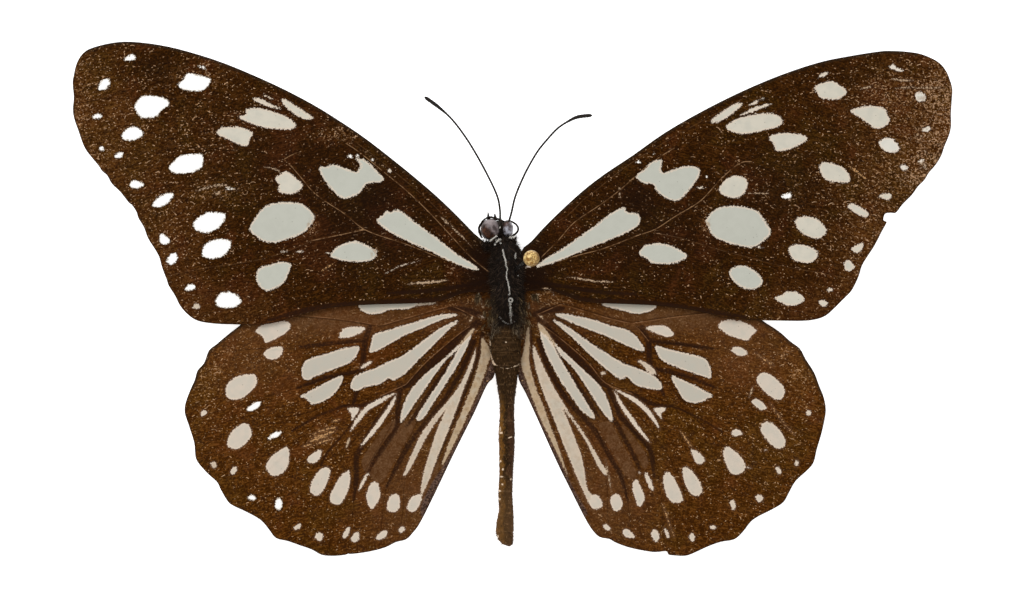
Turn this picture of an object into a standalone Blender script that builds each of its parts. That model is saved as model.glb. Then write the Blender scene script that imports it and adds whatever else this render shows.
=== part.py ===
"""A pinned butterfly specimen, spread flat and lying on its underside.

The frame is in metres, +Z up. The head points along +Y and the right wings along +X. The origin is
at the middle of the wingspan, on the surface that the specimen lies on. All sizes below are in
millimetres and are turned into metres by MM.
"""

import math

import bmesh
import bpy
from mathutils import Matrix, Vector, geometry

MM = 0.001

# Wings: the sheet, its height over the surface and its droop towards the margins
WING_THICKNESS = 0.22
FOREWING_ROOT_HEIGHT = 3.9
FOREWING_TIP_HEIGHT = 0.2
FOREWING_TIP_REACH = 46.2
WING_ROOT_REACH = 2.2
DROOP_POWER = 1.15
HINDWING_DROP = 0.55
HINDWING_REAR_DROOP = 1.45
HINDWING_REAR_START = -2.0
HINDWING_REAR_LENGTH = 25.0
REAR_DROOP_POWER = 1.3
WING_MESH_PITCH = 3.6
WING_MESH_INSET = 1.3
WING_OUTLINE_STEPS = 2
ROOT_GAP = 0.12

# Body rings: sides, steps between two sections, and how near to a section's top its side is read
THORAX_SEGMENTS = 24
ABDOMEN_SEGMENTS = 16
STATION_STEPS = 2
HIGHEST_SIDE_LEVEL = 0.98

# Edges sharper than this stay sharp in the shading
SHARP_EDGE_DEGREES = 40

# Head and eyes: centres and half sizes
HEAD_CENTRE = (-1.2, 7.2, 3.4)
HEAD_RADII = (1.2, 1.08, 1.15)
EYES = {
    "eye_left": ((-2.45, 7.15, 3.45), (0.98, 1.15, 1.05)),
    "eye_right": ((-0.15, 7.05, 3.3), (0.62, 0.95, 0.9)),
}
HEAD_SIDES, HEAD_ROWS = 20, 12
EYE_SIDES, EYE_ROWS = 18, 12
EYE_SOCKET_CLEARANCE = 0.06

# Antennae, with a club over the last stretch
ANTENNA_RADIUS = 0.09
ANTENNA_STEPS = 3
CLUB_RADIUS = 0.19
CLUB_LENGTH = 3.0
CLUB_TIP_RADIUS = 0.13

# Mouthparts
PALP_RADII = (0.18, 0.144, 0.05)
PALP_STEPS = 3
PROBOSCIS_RADIUS = 0.085
PROBOSCIS_MOUTH = [(-1.85, 7.95, 2.72), (-1.93, 8.2, 2.42)]
PROBOSCIS_CENTRE = (-1.4, 7.35)
PROBOSCIS_HALF_SIZE = (2.05, 1.02)
PROBOSCIS_START_DEGREES = 105
PROBOSCIS_TURN_DEGREES = 315
PROBOSCIS_START_HEIGHT = 2.1
PROBOSCIS_END_HEIGHT = 1.5
PROBOSCIS_POINTS = 33

# Pin: a round head on a thin shaft that leans to the right, cut off flush below the body. The bore
# in the thorax goes up to PIN_BORE_TOP, and the cutters pass the surfaces by PIN_OVERSHOOT.
PIN_HEAD_RADIUS = 0.9
PIN_HEAD_CENTRE = (2.11, 4.25, 13.5)
PIN_SHAFT_RADIUS = 0.24
PIN_FOOT_POINT = (-0.59, 2.49, 0.0)
PIN_FOOT_HEIGHT = 0.03
PIN_SIDES = 12
PIN_HEAD_SIDES, PIN_HEAD_ROWS = 24, 14
PIN_BORE_CLEARANCE = 0.06
PIN_BORE_TOP = 8.0
PIN_END_TO_HEAD_CENTRE = 0.3
PIN_OVERSHOOT = 2.0

# Legs: radii from the femur to the foot, and the gap at the hip
LEG_RADII = (0.26, 0.3, 0.2, 0.17, 0.12, 0.1)
LEG_HIP_GAP = 0.1
LEG_STEPS = 2

# Thorax sections: distance along Y, middle X, middle Z, half width, half height
THORAX = [
    (6.05, -0.75, 3.5, 0.78, 0.95),
    (5.8, -0.72, 3.4, 1.1, 1.35),
    (5.0, -0.66, 3.1, 1.45, 1.95),
    (4.0, -0.62, 2.75, 1.62, 2.5),
    (2.5, -0.56, 2.45, 1.7, 2.85),
    (1.0, -0.5, 2.4, 1.68, 2.9),
    (-0.5, -0.42, 2.45, 1.58, 2.75),
    (-1.6, -0.38, 2.55, 1.42, 2.2),
    (-2.3, -0.38, 2.65, 1.2, 1.6),
    (-2.6, -0.4, 2.7, 0.98, 1.18),
]

# Abdomen sections, in the same order
ABDOMEN = [
    (-2.68, -0.5, 2.62, 1.0, 1.15),
    (-3.2, -0.6, 2.55, 1.36, 1.5),
    (-4.5, -0.68, 2.45, 1.58, 1.7),
    (-6.0, -0.68, 2.35, 1.5, 1.62),
    (-6.9, -0.62, 2.25, 1.35, 1.45),
    (-7.6, -0.58, 2.15, 1.2, 1.3),
    (-9.0, -0.54, 2.0, 1.02, 1.12),
    (-10.5, -0.52, 1.85, 0.8, 0.95),
    (-12.0, -0.52, 1.75, 0.74, 0.88),
    (-14.0, -0.56, 1.6, 0.85, 0.92),
    (-16.0, -0.55, 1.5, 0.79, 0.88),
    (-18.5, -0.62, 1.35, 0.7, 0.82),
    (-20.5, -0.71, 1.25, 0.74, 0.82),
    (-22.2, -0.62, 1.17, 0.74, 0.82),
    (-23.3, -0.72, 1.12, 0.9, 0.9),
    (-24.5, -0.78, 1.08, 0.93, 0.92),
    (-25.3, -0.65, 1.05, 0.78, 0.8),
    (-25.75, -0.45, 1.05, 0.5, 0.55),
    (-25.95, -0.3, 1.05, 0.2, 0.25),
]

# Wing outlines as smooth stretches, with a corner between one stretch and the next
FOREWING_LEFT = [
    [(-2.5, 5.4), (-4.0, 6.9), (-7.1, 10.0), (-11.0, 13.4), (-15.0, 16.55), (-20.0, 19.9),
     (-25.0, 22.5), (-30.0, 24.65), (-34.0, 25.95), (-37.0, 26.65), (-40.0, 27.0), (-42.0, 26.88),
     (-44.0, 26.4), (-45.2, 25.65), (-45.8, 24.5), (-46.15, 23.0), (-46.08, 21.2), (-46.15, 19.7),
     (-45.7, 18.0), (-45.0, 16.0), (-43.9, 14.6), (-42.5, 13.0), (-41.1, 11.25), (-39.9, 9.9),
     (-38.9, 8.0), (-38.3, 6.5), (-37.2, 4.6), (-36.6, 3.0), (-36.0, 1.4), (-35.2, 0.0),
     (-34.0, -1.6), (-32.5, -2.4), (-30.0, -2.7), (-27.0, -2.65), (-24.0, -2.25), (-20.0, -1.15),
     (-16.0, -0.65), (-10.0, -0.45), (-5.5, -0.3), (-3.4, -0.3)],
]
FOREWING_RIGHT = [
    [(1.05, 5.05), (2.0, 6.0), (3.9, 8.05), (7.05, 11.0), (11.2, 14.0), (16.0, 17.4), (20.0, 19.7),
     (24.0, 21.7), (28.0, 23.4), (32.0, 24.75), (35.0, 25.4), (38.0, 25.9), (40.0, 26.03),
     (42.0, 25.87), (44.0, 25.4), (45.3, 24.4), (46.0, 23.0), (46.27, 21.7), (46.1, 19.8),
     (46.08, 18.0), (45.4, 16.0), (44.9, 14.6), (43.5, 12.9), (42.1, 11.1), (41.0, 9.95),
     (40.3, 9.1)],
    [(39.6, 9.05), (39.1, 8.85), (38.95, 8.2)],
    [(39.3, 8.1), (38.7, 7.0), (38.2, 5.9), (37.3, 4.5), (36.6, 3.1), (36.05, 1.8), (35.5, 0.75),
     (34.1, -0.6), (32.9, -1.75), (31.2, -2.25), (29.0, -2.3), (26.1, -2.15), (23.0, -2.05),
     (20.0, -1.45), (16.0, -0.75), (11.0, -0.5), (6.5, -0.3), (2.5, -0.3)],
]
HINDWING_LEFT = [
    [(-3.2, 0.6), (-5.0, 1.0), (-8.0, 1.7), (-12.0, 2.3), (-16.0, 2.4), (-20.0, 1.9), (-23.0, 1.0),
     (-25.5, -0.3), (-28.4, -2.65), (-30.0, -3.9), (-31.8, -5.4), (-32.3, -6.7), (-33.3, -8.5),
     (-34.15, -10.6), (-34.35, -12.0), (-33.7, -14.0), (-33.3, -16.0), (-32.7, -17.6),
     (-31.0, -19.2), (-29.9, -21.2), (-27.8, -22.4), (-26.0, -23.6), (-24.7, -25.15),
     (-22.5, -25.8), (-20.4, -26.7), (-18.8, -26.98), (-17.0, -26.8), (-14.2, -26.3),
     (-12.2, -25.5), (-10.9, -25.05), (-10.0, -24.0), (-8.0, -20.2), (-6.0, -16.0), (-4.0, -12.0),
     (-2.8, -9.3)],
    [(-1.85, -8.1), (-2.0, -7.2)],
]
HINDWING_RIGHT = [
    [(2.3, 0.6), (3.8, 0.9), (6.5, 1.5), (10.0, 2.1), (14.0, 2.3), (18.0, 1.8), (21.0, 0.9),
     (23.5, -0.2), (26.1, -2.15), (28.0, -3.4), (30.0, -5.05), (31.0, -6.8), (32.0, -8.3),
     (32.75, -10.4), (32.95, -11.9), (32.5, -14.2), (31.9, -16.4), (31.1, -17.9), (29.6, -19.35),
     (28.7, -21.15), (26.6, -22.4), (25.1, -23.35), (23.8, -24.95), (21.9, -25.5), (19.9, -26.25),
     (18.6, -26.95), (16.5, -26.9)],
    [(16.2, -26.45), (14.3, -26.45), (12.1, -26.0), (10.2, -25.15), (9.0, -24.8), (7.8, -23.2),
     (6.2, -20.1), (4.4, -16.4), (2.6, -12.4), (1.1, -9.2)],
    [(0.6, -8.3), (0.72, -7.3)],
]

# Rows down the body at which each wing root keeps ROOT_GAP to the thorax or abdomen
FOREWING_ROOT_ROWS = (-0.3, 0.9, 2.4, 3.8, 4.9)
HINDWING_ROOT_ROWS = (-6.5, -4.8, -3.4, -2.9, -2.3, -1.2, -0.2, 0.6)

# Antenna paths seen from above, with the height over the surface
ANTENNAE = {
    "antenna_left": [
        (-1.24, 8.27, 4.05), (-1.26, 9.29, 4.5), (-1.5, 10.6, 4.7), (-2.21, 12.24, 4.75),
        (-3.57, 14.81, 4.65), (-4.88, 16.93, 4.45), (-6.22, 18.69, 4.2), (-7.56, 19.95, 4.0),
        (-9.19, 21.14, 3.8),
    ],
    "antenna_right": [
        (-0.33, 8.08, 3.92), (-0.06, 9.0, 4.4), (0.26, 10.4, 4.65), (0.74, 11.71, 4.75),
        (1.54, 13.44, 4.7), (2.63, 15.33, 4.55), (3.68, 16.65, 4.4), (4.76, 17.8, 4.25),
        (5.84, 18.53, 4.1), (6.91, 19.01, 4.0), (8.4, 19.18, 3.85),
    ],
}

PALPS = {
    "palp_left": [(-2.15, 8.2, 2.7), (-2.35, 8.6, 2.9), (-2.46, 9.05, 3.15)],
    "palp_right": [(-1.5, 8.3, 2.7), (-1.68, 8.6, 2.85), (-1.74, 8.92, 3.05)],
}

# Leg joints below the hip: knee, ankle, middle of the foot and its tip, for the left side
LEGS = {
    "midleg": (2.4, 1.2, [(-3.3, 3.4, 1.0), (-3.5, 3.3, 0.8), (-2.95, -0.4, 0.3),
                          (-2.75, -1.6, 0.16), (-2.6, -2.9, 0.13)]),
    "hindleg": (-0.6, 1.3, [(-3.5, -2.6, 1.1), (-3.6, -3.0, 0.9), (-3.1, -5.2, 0.3),
                            (-2.75, -6.4, 0.16), (-2.5, -7.4, 0.13)]),
}
BODY_MIDDLE = -0.55

# Base colours (linear), roughness and metallic value of each material
MATERIALS = {
    "forewing": ((0.035, 0.018, 0.009), 0.75, 0.0),
    "hindwing": ((0.065, 0.032, 0.014), 0.75, 0.0),
    "body_hair": ((0.012, 0.009, 0.007), 0.9, 0.0),
    "abdomen": ((0.1, 0.05, 0.018), 0.7, 0.0),
    "eye": ((0.03, 0.014, 0.01), 0.15, 0.0),
    "antenna": ((0.008, 0.007, 0.006), 0.4, 0.0),
    "leg": ((0.02, 0.012, 0.008), 0.5, 0.0),
    "pin_black": ((0.01, 0.01, 0.01), 0.25, 0.0),
    "pin_gold": ((0.55, 0.33, 0.08), 0.35, 0.6),
}


def clear_scene():
    """Remove every object that the new file came with."""
    for old in list(bpy.data.objects):
        bpy.data.objects.remove(old, do_unlink=True)


def make_materials():
    """Make one Principled material for each entry in MATERIALS."""
    made = {}
    for name, (colour, roughness, metallic) in MATERIALS.items():
        material = bpy.data.materials.new(name)
        material.use_nodes = True
        shader = material.node_tree.nodes["Principled BSDF"]
        shader.inputs["Base Color"].default_value = (*colour, 1.0)
        shader.inputs["Roughness"].default_value = roughness
        shader.inputs["Metallic"].default_value = metallic
        material.diffuse_color = (*colour, 1.0)
        made[name] = material
    return made


def add_object(name, mesh_edit, material):
    """Put a bmesh built in millimetres into the scene as a smooth object in metres."""
    bmesh.ops.recalc_face_normals(mesh_edit, faces=mesh_edit.faces[:])
    bmesh.ops.scale(mesh_edit, vec=(MM, MM, MM), verts=mesh_edit.verts[:])
    mesh = bpy.data.meshes.new(name)
    mesh_edit.to_mesh(mesh)
    mesh_edit.free()
    mesh.shade_smooth()
    mesh.set_sharp_from_angle(angle=math.radians(SHARP_EDGE_DEGREES))
    obj = bpy.data.objects.new(name, mesh)
    if material:
        obj.data.materials.append(material)
    bpy.context.collection.objects.link(obj)
    return obj


def as_cutter(obj):
    """Hide an object that only cuts another one."""
    obj.hide_render = True
    obj.display_type = "WIRE"
    return obj


def cut(target, cutter):
    """Take the cutter's volume away from the target."""
    modifier = target.modifiers.new("cut_" + cutter.name, "BOOLEAN")
    modifier.operation = "DIFFERENCE"
    modifier.solver = "EXACT"
    modifier.object = cutter


def spline_point(before, start, end, after, t):
    """Catmull-Rom point between start and end, for points with any number of coordinates."""
    return tuple(
        0.5 * (2 * s + (e - b) * t + (2 * b - 5 * s + 4 * e - a) * t * t
               + (3 * s - b - 3 * e + a) * t * t * t)
        for b, s, e, a in zip(before, start, end, after)
    )


def smooth_path(points, steps):
    """Open smooth curve through the points, with the given number of steps between two of them."""
    last = len(points) - 1
    path = []
    for i in range(last):
        before = points[max(i - 1, 0)]
        after = points[min(i + 2, last)]
        for step in range(steps):
            path.append(spline_point(before, points[i], points[i + 1], after, step / steps))
    path.append(tuple(points[last]))
    return path


def section_at(stations, y):
    """Middle X, middle Z, half width and half height of a body section at y."""
    rows = sorted(stations)
    for low, high in zip(rows, rows[1:]):
        if low[0] <= y <= high[0]:
            t = (y - low[0]) / (high[0] - low[0])
            return tuple(a + (b - a) * t for a, b in zip(low[1:], high[1:]))
    raise ValueError("no section at this row")


def body_side(stations, y, z, side):
    """X of the body's side (-1 left, 1 right) at a row and a height."""
    middle_x, middle_z, half_width, half_height = section_at(stations, y)
    level = min(abs(z - middle_z) / half_height, HIGHEST_SIDE_LEVEL)
    return middle_x + side * half_width * math.sqrt(1 - level * level)


def forewing_height(x, y):
    """Middle height of the forewing sheet, falling from the root to the tip."""
    reach = max(abs(x) - WING_ROOT_REACH, 0) / (FOREWING_TIP_REACH - WING_ROOT_REACH)
    fall = FOREWING_ROOT_HEIGHT - FOREWING_TIP_HEIGHT
    return FOREWING_ROOT_HEIGHT - fall * reach ** DROOP_POWER


def hindwing_height(x, y):
    """Middle height of the hindwing sheet: under the forewing, and falling to the rear as well."""
    back = max(HINDWING_REAR_START - y, 0) / HINDWING_REAR_LENGTH
    rear = HINDWING_REAR_DROOP * back ** REAR_DROOP_POWER
    return forewing_height(x, y) - HINDWING_DROP - rear


def wing_outline(stretches, root_rows, height, side):
    """Closed outline: the smooth stretches, then the root edge that follows the body."""
    outline = []
    for stretch in stretches:
        outline += smooth_path(stretch, WING_OUTLINE_STEPS)
    for y in root_rows:
        body = ABDOMEN if y < ABDOMEN[0][0] else THORAX
        z = height(side * WING_ROOT_REACH, y)
        outline.append((body_side(body, y, z, side) + side * ROOT_GAP, y))
    return outline


def inside_outline(outline, x, y):
    """Distance from a point to the outline, or -1 when the point lies outside it."""
    inside = False
    nearest = math.inf
    point = Vector((x, y))
    for (ax, ay), (bx, by) in zip(outline, outline[1:] + outline[:1]):
        if (ay > y) != (by > y) and x < ax + (bx - ax) * (y - ay) / (by - ay):
            inside = not inside
        a, b = Vector((ax, ay)), Vector((bx, by))
        t = max(0.0, min(1.0, (point - a).dot(b - a) / max((b - a).length_squared, 1e-9)))
        nearest = min(nearest, (point - a - (b - a) * t).length)
    return nearest if inside else -1.0


def inner_points(outline):
    """Staggered grid of points inside the outline, clear of its edge."""
    left = min(x for x, _ in outline)
    right = max(x for x, _ in outline)
    bottom = min(y for _, y in outline)
    top = max(y for _, y in outline)
    row_pitch = WING_MESH_PITCH * math.sqrt(3) / 2
    points = []
    for row in range(int((top - bottom) / row_pitch) + 1):
        y = bottom + row * row_pitch
        shift = (row % 2) * WING_MESH_PITCH / 2
        for column in range(int((right - left) / WING_MESH_PITCH) + 1):
            x = left + shift + column * WING_MESH_PITCH
            if inside_outline(outline, x, y) > WING_MESH_INSET:
                points.append((x, y))
    return points


def make_wing(name, stretches, root_rows, height, side, material):
    """Thin closed sheet with the wing's outline, lifted to its height at every point."""
    outline = wing_outline(stretches, root_rows, height, side)
    flat = [Vector(p) for p in outline + inner_points(outline)]
    ring = list(range(len(outline)))
    verts, _, faces, *_ = geometry.delaunay_2d_cdt(flat, [], [ring], 1, 1e-6)
    wing = bmesh.new()
    half = WING_THICKNESS / 2
    upper = [wing.verts.new((v.x, v.y, height(v.x, v.y) + half)) for v in verts]
    lower = [wing.verts.new((v.x, v.y, height(v.x, v.y) - half)) for v in verts]
    for face in faces:
        wing.faces.new([upper[i] for i in face])
        wing.faces.new([lower[i] for i in reversed(face)])
    used = {}
    for face in faces:
        for a, b in zip(face, face[1:] + face[:1]):
            used[(a, b)] = True
    for a, b in used:
        if (b, a) not in used:
            wing.faces.new((upper[a], lower[a], lower[b], upper[b]))
    return add_object(name, wing, material)


def loft(stations, segments):
    """Closed body through elliptical sections, capped flat at both ends."""
    body = bmesh.new()
    rings = []
    for y, middle_x, middle_z, half_width, half_height in smooth_path(stations, STATION_STEPS):
        ring = []
        for k in range(segments):
            angle = 2 * math.pi * k / segments
            x = middle_x + half_width * math.cos(angle)
            z = middle_z + half_height * math.sin(angle)
            ring.append(body.verts.new((x, y, z)))
        rings.append(ring)
    for near, far in zip(rings, rings[1:]):
        for k in range(segments):
            following = (k + 1) % segments
            body.faces.new((near[k], near[following], far[following], far[k]))
    body.faces.new(rings[0])
    body.faces.new(reversed(rings[-1]))
    return body


def cut_flat_below(body, height):
    """Cut a closed body off at a height and close it with one flat face."""
    everything = body.verts[:] + body.edges[:] + body.faces[:]
    result = bmesh.ops.bisect_plane(
        body, geom=everything, dist=1e-6, plane_co=(0, 0, height), plane_no=(0, 0, 1),
        clear_inner=True)
    rim = [e for e in result["geom_cut"] if isinstance(e, bmesh.types.BMEdge)]
    bmesh.ops.edgeloop_fill(body, edges=rim)


def pin_axis():
    """Foot point, unit direction and length of the pin's middle line."""
    foot = Vector(PIN_FOOT_POINT)
    head = Vector(PIN_HEAD_CENTRE)
    return foot, (head - foot).normalized(), (head - foot).length


def rod(radius, start, end):
    """Closed round rod between two points."""
    made = bmesh.new()
    along = end - start
    turn = along.to_track_quat("Z", "Y").to_matrix().to_4x4()
    place = Matrix.Translation((start + end) / 2) @ turn
    bmesh.ops.create_cone(
        made, cap_ends=True, segments=PIN_SIDES, radius1=radius, radius2=radius,
        depth=along.length, matrix=place)
    return made


def ellipsoid(centre, radii, sides, rows):
    """Closed ellipsoid."""
    made = bmesh.new()
    bmesh.ops.create_uvsphere(made, u_segments=sides, v_segments=rows, radius=1.0)
    bmesh.ops.scale(made, vec=radii, verts=made.verts[:])
    bmesh.ops.translate(made, vec=centre, verts=made.verts[:])
    return made


def make_tube(name, points, radii, material, steps):
    """Curve object with filled caps whose radius runs through the given radii."""
    path = smooth_path([(*p, r) for p, r in zip(points, radii)], steps)
    curve = bpy.data.curves.new(name, "CURVE")
    curve.dimensions = "3D"
    curve.bevel_depth = MM
    curve.bevel_resolution = 2
    curve.use_fill_caps = True
    spline = curve.splines.new("POLY")
    spline.points.add(len(path) - 1)
    for target, (x, y, z, radius) in zip(spline.points, path):
        target.co = (x * MM, y * MM, z * MM, 1.0)
        target.radius = radius
    curve.materials.append(material)
    obj = bpy.data.objects.new(name, curve)
    bpy.context.collection.objects.link(obj)
    return obj


def make_wings(made):
    """The four wings, the forewings lying over the hindwings."""
    make_wing("forewing_left", FOREWING_LEFT, FOREWING_ROOT_ROWS, forewing_height, -1,
              made["forewing"])
    make_wing("forewing_right", FOREWING_RIGHT, FOREWING_ROOT_ROWS, forewing_height, 1,
              made["forewing"])
    make_wing("hindwing_left", HINDWING_LEFT, HINDWING_ROOT_ROWS, hindwing_height, -1,
              made["hindwing"])
    make_wing("hindwing_right", HINDWING_RIGHT, HINDWING_ROOT_ROWS, hindwing_height, 1,
              made["hindwing"])


def make_body(made):
    """Thorax with its flat underside and the pin's bore, and the abdomen."""
    chest = loft(THORAX, THORAX_SEGMENTS)
    cut_flat_below(chest, 0.0)
    thorax = add_object("thorax", chest, made["body_hair"])
    foot, direction, _ = pin_axis()
    bore = rod(PIN_SHAFT_RADIUS + PIN_BORE_CLEARANCE, foot - direction * PIN_OVERSHOOT,
               foot + direction * PIN_BORE_TOP)
    cut(thorax, as_cutter(add_object("pin_bore", bore, None)))
    add_object("abdomen", loft(ABDOMEN, ABDOMEN_SEGMENTS), made["abdomen"])


def make_head(made):
    """Head with a socket for each eye, the eyes, antennae, palps and the coiled proboscis."""
    ball = ellipsoid(HEAD_CENTRE, HEAD_RADII, HEAD_SIDES, HEAD_ROWS)
    head = add_object("head", ball, made["body_hair"])
    for name, (centre, radii) in EYES.items():
        add_object(name, ellipsoid(centre, radii, EYE_SIDES, EYE_ROWS), made["eye"])
        wider = [r + EYE_SOCKET_CLEARANCE for r in radii]
        socket = ellipsoid(centre, wider, EYE_SIDES, EYE_ROWS)
        cut(head, as_cutter(add_object(name + "_socket", socket, None)))
    for name, points in ANTENNAE.items():
        make_tube(name, points, antenna_radii(points), made["antenna"], ANTENNA_STEPS)
    for name, points in PALPS.items():
        make_tube(name, points, PALP_RADII, made["body_hair"], PALP_STEPS)
    make_proboscis(made["antenna"])


def antenna_radii(points):
    """Thin shaft that widens over the club's length and rounds off at the tip."""
    radii = []
    tip = Vector(points[-1])
    for point in points:
        left = (Vector(point) - tip).length
        share = max(0.0, 1 - left / CLUB_LENGTH)
        radii.append(ANTENNA_RADIUS + (CLUB_RADIUS - ANTENNA_RADIUS) * min(1.0, 2 * share))
    radii[-1] = CLUB_TIP_RADIUS
    return radii


def make_proboscis(material):
    """Tube that comes down from the mouth between the palps and runs in a loose loop under the head,
    most of one turn, sinking as it goes round."""
    points = list(PROBOSCIS_MOUTH)
    for k in range(PROBOSCIS_POINTS):
        share = k / (PROBOSCIS_POINTS - 1)
        angle = math.radians(PROBOSCIS_START_DEGREES + PROBOSCIS_TURN_DEGREES * share)
        x = PROBOSCIS_CENTRE[0] + PROBOSCIS_HALF_SIZE[0] * math.cos(angle)
        y = PROBOSCIS_CENTRE[1] + PROBOSCIS_HALF_SIZE[1] * math.sin(angle)
        z = PROBOSCIS_START_HEIGHT + (PROBOSCIS_END_HEIGHT - PROBOSCIS_START_HEIGHT) * share
        points.append((x, y, z))
    make_tube("proboscis", points, [PROBOSCIS_RADIUS] * len(points), material, 1)


def make_legs(made):
    """Middle and hind legs, folded back under the wings beside the body."""
    for name, (hip_y, hip_z, joints) in LEGS.items():
        for side, word in ((-1, "left"), (1, "right")):
            mirrored = [(BODY_MIDDLE - side * (x - BODY_MIDDLE), y, z) for x, y, z in joints]
            reach = LEG_HIP_GAP + LEG_RADII[0]
            hip_x = body_side(THORAX, hip_y, hip_z, side) + side * reach
            points = [(hip_x, hip_y, hip_z)] + mirrored
            make_tube(f"{name}_{word}", points, LEG_RADII, made["leg"], LEG_STEPS)


def make_pin(made):
    """Shaft cut off flush at the underside, and the round head it is set in."""
    foot, direction, length = pin_axis()
    end = length - PIN_END_TO_HEAD_CENTRE
    shaft = rod(PIN_SHAFT_RADIUS, foot - direction * PIN_OVERSHOOT, foot + direction * end)
    cut_flat_below(shaft, PIN_FOOT_HEIGHT)
    add_object("pin_shaft", shaft, made["pin_black"])
    ball = ellipsoid(PIN_HEAD_CENTRE, (PIN_HEAD_RADIUS,) * 3, PIN_HEAD_SIDES, PIN_HEAD_ROWS)
    head = add_object("pin_head", ball, made["pin_gold"])
    socket = rod(PIN_SHAFT_RADIUS + PIN_BORE_CLEARANCE,
                 foot + direction * (length - PIN_OVERSHOOT),
                 foot + direction * (end + PIN_BORE_CLEARANCE))
    cut(head, as_cutter(add_object("pin_socket", socket, None)))


def main():
    clear_scene()
    made = make_materials()
    make_wings(made)
    make_body(made)
    make_head(made)
    make_legs(made)
    make_pin(made)


main()
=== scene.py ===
"""The look of a pinned, spread butterfly specimen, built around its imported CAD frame.

Lengths in this script are millimetres until a mesh is filled, where MM turns them into metres. The
head points along +Y, the specimen's right wings along +X, and +Z is up. The wings are drawn from
outlines, marks and veins given in that frame, and their height follows the CAD sheets.
"""

import math

import bpy
import numpy as np
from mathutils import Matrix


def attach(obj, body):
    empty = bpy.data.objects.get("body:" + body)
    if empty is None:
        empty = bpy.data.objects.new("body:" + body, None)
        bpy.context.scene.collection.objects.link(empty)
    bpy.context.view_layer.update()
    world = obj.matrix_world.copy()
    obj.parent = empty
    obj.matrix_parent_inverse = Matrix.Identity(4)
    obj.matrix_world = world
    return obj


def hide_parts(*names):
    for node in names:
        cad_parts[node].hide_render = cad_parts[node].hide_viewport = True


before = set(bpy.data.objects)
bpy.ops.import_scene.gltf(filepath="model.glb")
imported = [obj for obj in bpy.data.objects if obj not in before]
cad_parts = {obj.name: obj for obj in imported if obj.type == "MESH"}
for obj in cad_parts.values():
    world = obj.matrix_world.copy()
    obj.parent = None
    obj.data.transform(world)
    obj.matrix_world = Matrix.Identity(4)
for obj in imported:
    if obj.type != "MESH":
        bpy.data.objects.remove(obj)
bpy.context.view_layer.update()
MM = 0.001

# Wing sheets: heights as in the CAD source, and the thickness of the finer sheet
WING_THICKNESS = 0.12
THINNEST_SHEET = 0.05
WING_LIFT = 0.1
FOREWING_ROOT_HEIGHT = 3.9
FOREWING_TIP_HEIGHT = 0.2
FOREWING_TIP_REACH = 46.2
WING_ROOT_REACH = 2.2
DROOP_POWER = 1.15
HINDWING_DROP = 0.55
HINDWING_REAR_DROOP = 1.45
HINDWING_REAR_START = -2.0
HINDWING_REAR_LENGTH = 25.0
REAR_DROOP_POWER = 1.3
ROOT_DIP = 0.9
ROOT_DIP_REACH = 2.6
ROOT_DIP_START, ROOT_DIP_RUN = -1.0, 2.0
LOWEST_SHEET = 0.01

# Fine grid of a wing, and how its surface swells along the veins and waves between them
WING_PITCH = 0.142
SNAP_SHARE = 0.3
VEIN_RISE = 0.07
VEIN_HALF_WIDTH = 0.11
WAVE_RISE = 0.05
QUIET_MARGIN = 2.0

# Steps of a smooth curve from one given point to the next: on a wing's rim, on its marks and lines,
# and on its streaks; and how many points of a forewing's outline lie along its front edge
RIM_STEPS, MARK_STEPS, STREAK_STEPS = 3, 4, 5
FRONT_EDGE_POINTS = 15

# How far from a mark or a vein its distance is still worked out
MARK_REACH = 0.7
VEIN_REACH = 0.5

# Tints of the pale marks: how white, and how far from grey through cream and tan to ochre
WHITE = (1.0, 0.0)
GREY = (0.0, 0.0)
CREAM = (0.0, 0.5)
PINK = (0.0, 0.7)
BRIGHT = (0.22, 0.5)
TAN = (0.0, 1.0)
OCHRE = (0.0, 1.5)

# Tones of the vein lines: dark lines, brown lines and pale tan lines
DARK, BROWN, PALE = 0.0, 0.5, 1.0

# Wing outlines. In every list of a wing's drawing X and Y follow each other in turn.
FOREWING_LEFT = [
    -2.2, 5.1, -4, 6.9, -6, 8.95, -8, 10.85, -11, 13.4, -15, 16.55, -18, 18.6, -21, 20.45, -25, 22.5,
    -30, 24.65, -34, 25.95, -37, 26.65, -40, 27, -42, 26.88, -44, 26.4, -45, 25.85, -45.7, 24.8,
    -46.05, 23.4, -46.15, 22.6, -46.02, 21.2, -46.12, 20, -46, 19, -45.55, 17.7, -45.1, 16.4, -44.7, 15.6,
    -43.9, 14.6, -43.4, 14, -43, 13.4, -42.5, 13, -42, 12.1, -41.1, 11.25, -40.2, 10.1, -39.9, 9.9,
    -39.4, 9.15, -39.2, 8.5, -38.6, 7.5, -38.2, 6.4, -37.5, 5.3, -37, 4.4, -36.7, 3.3, -36.2, 2, -36, 1.4,
    -35.3, 0.3, -34.8, -0.7, -34, -1.6, -32.9, -2.3, -31, -2.6, -29, -2.67, -27, -2.72, -25.5, -2.6,
    -24, -2.25, -20, -1.1, -16, -0.65, -10, -0.45, -8, -0.3, -6.6, 0.05, -5.4, 0.5, -4.2, 0.75, -2.2, 0.8,
    -2.1, 2.4,
]
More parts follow.
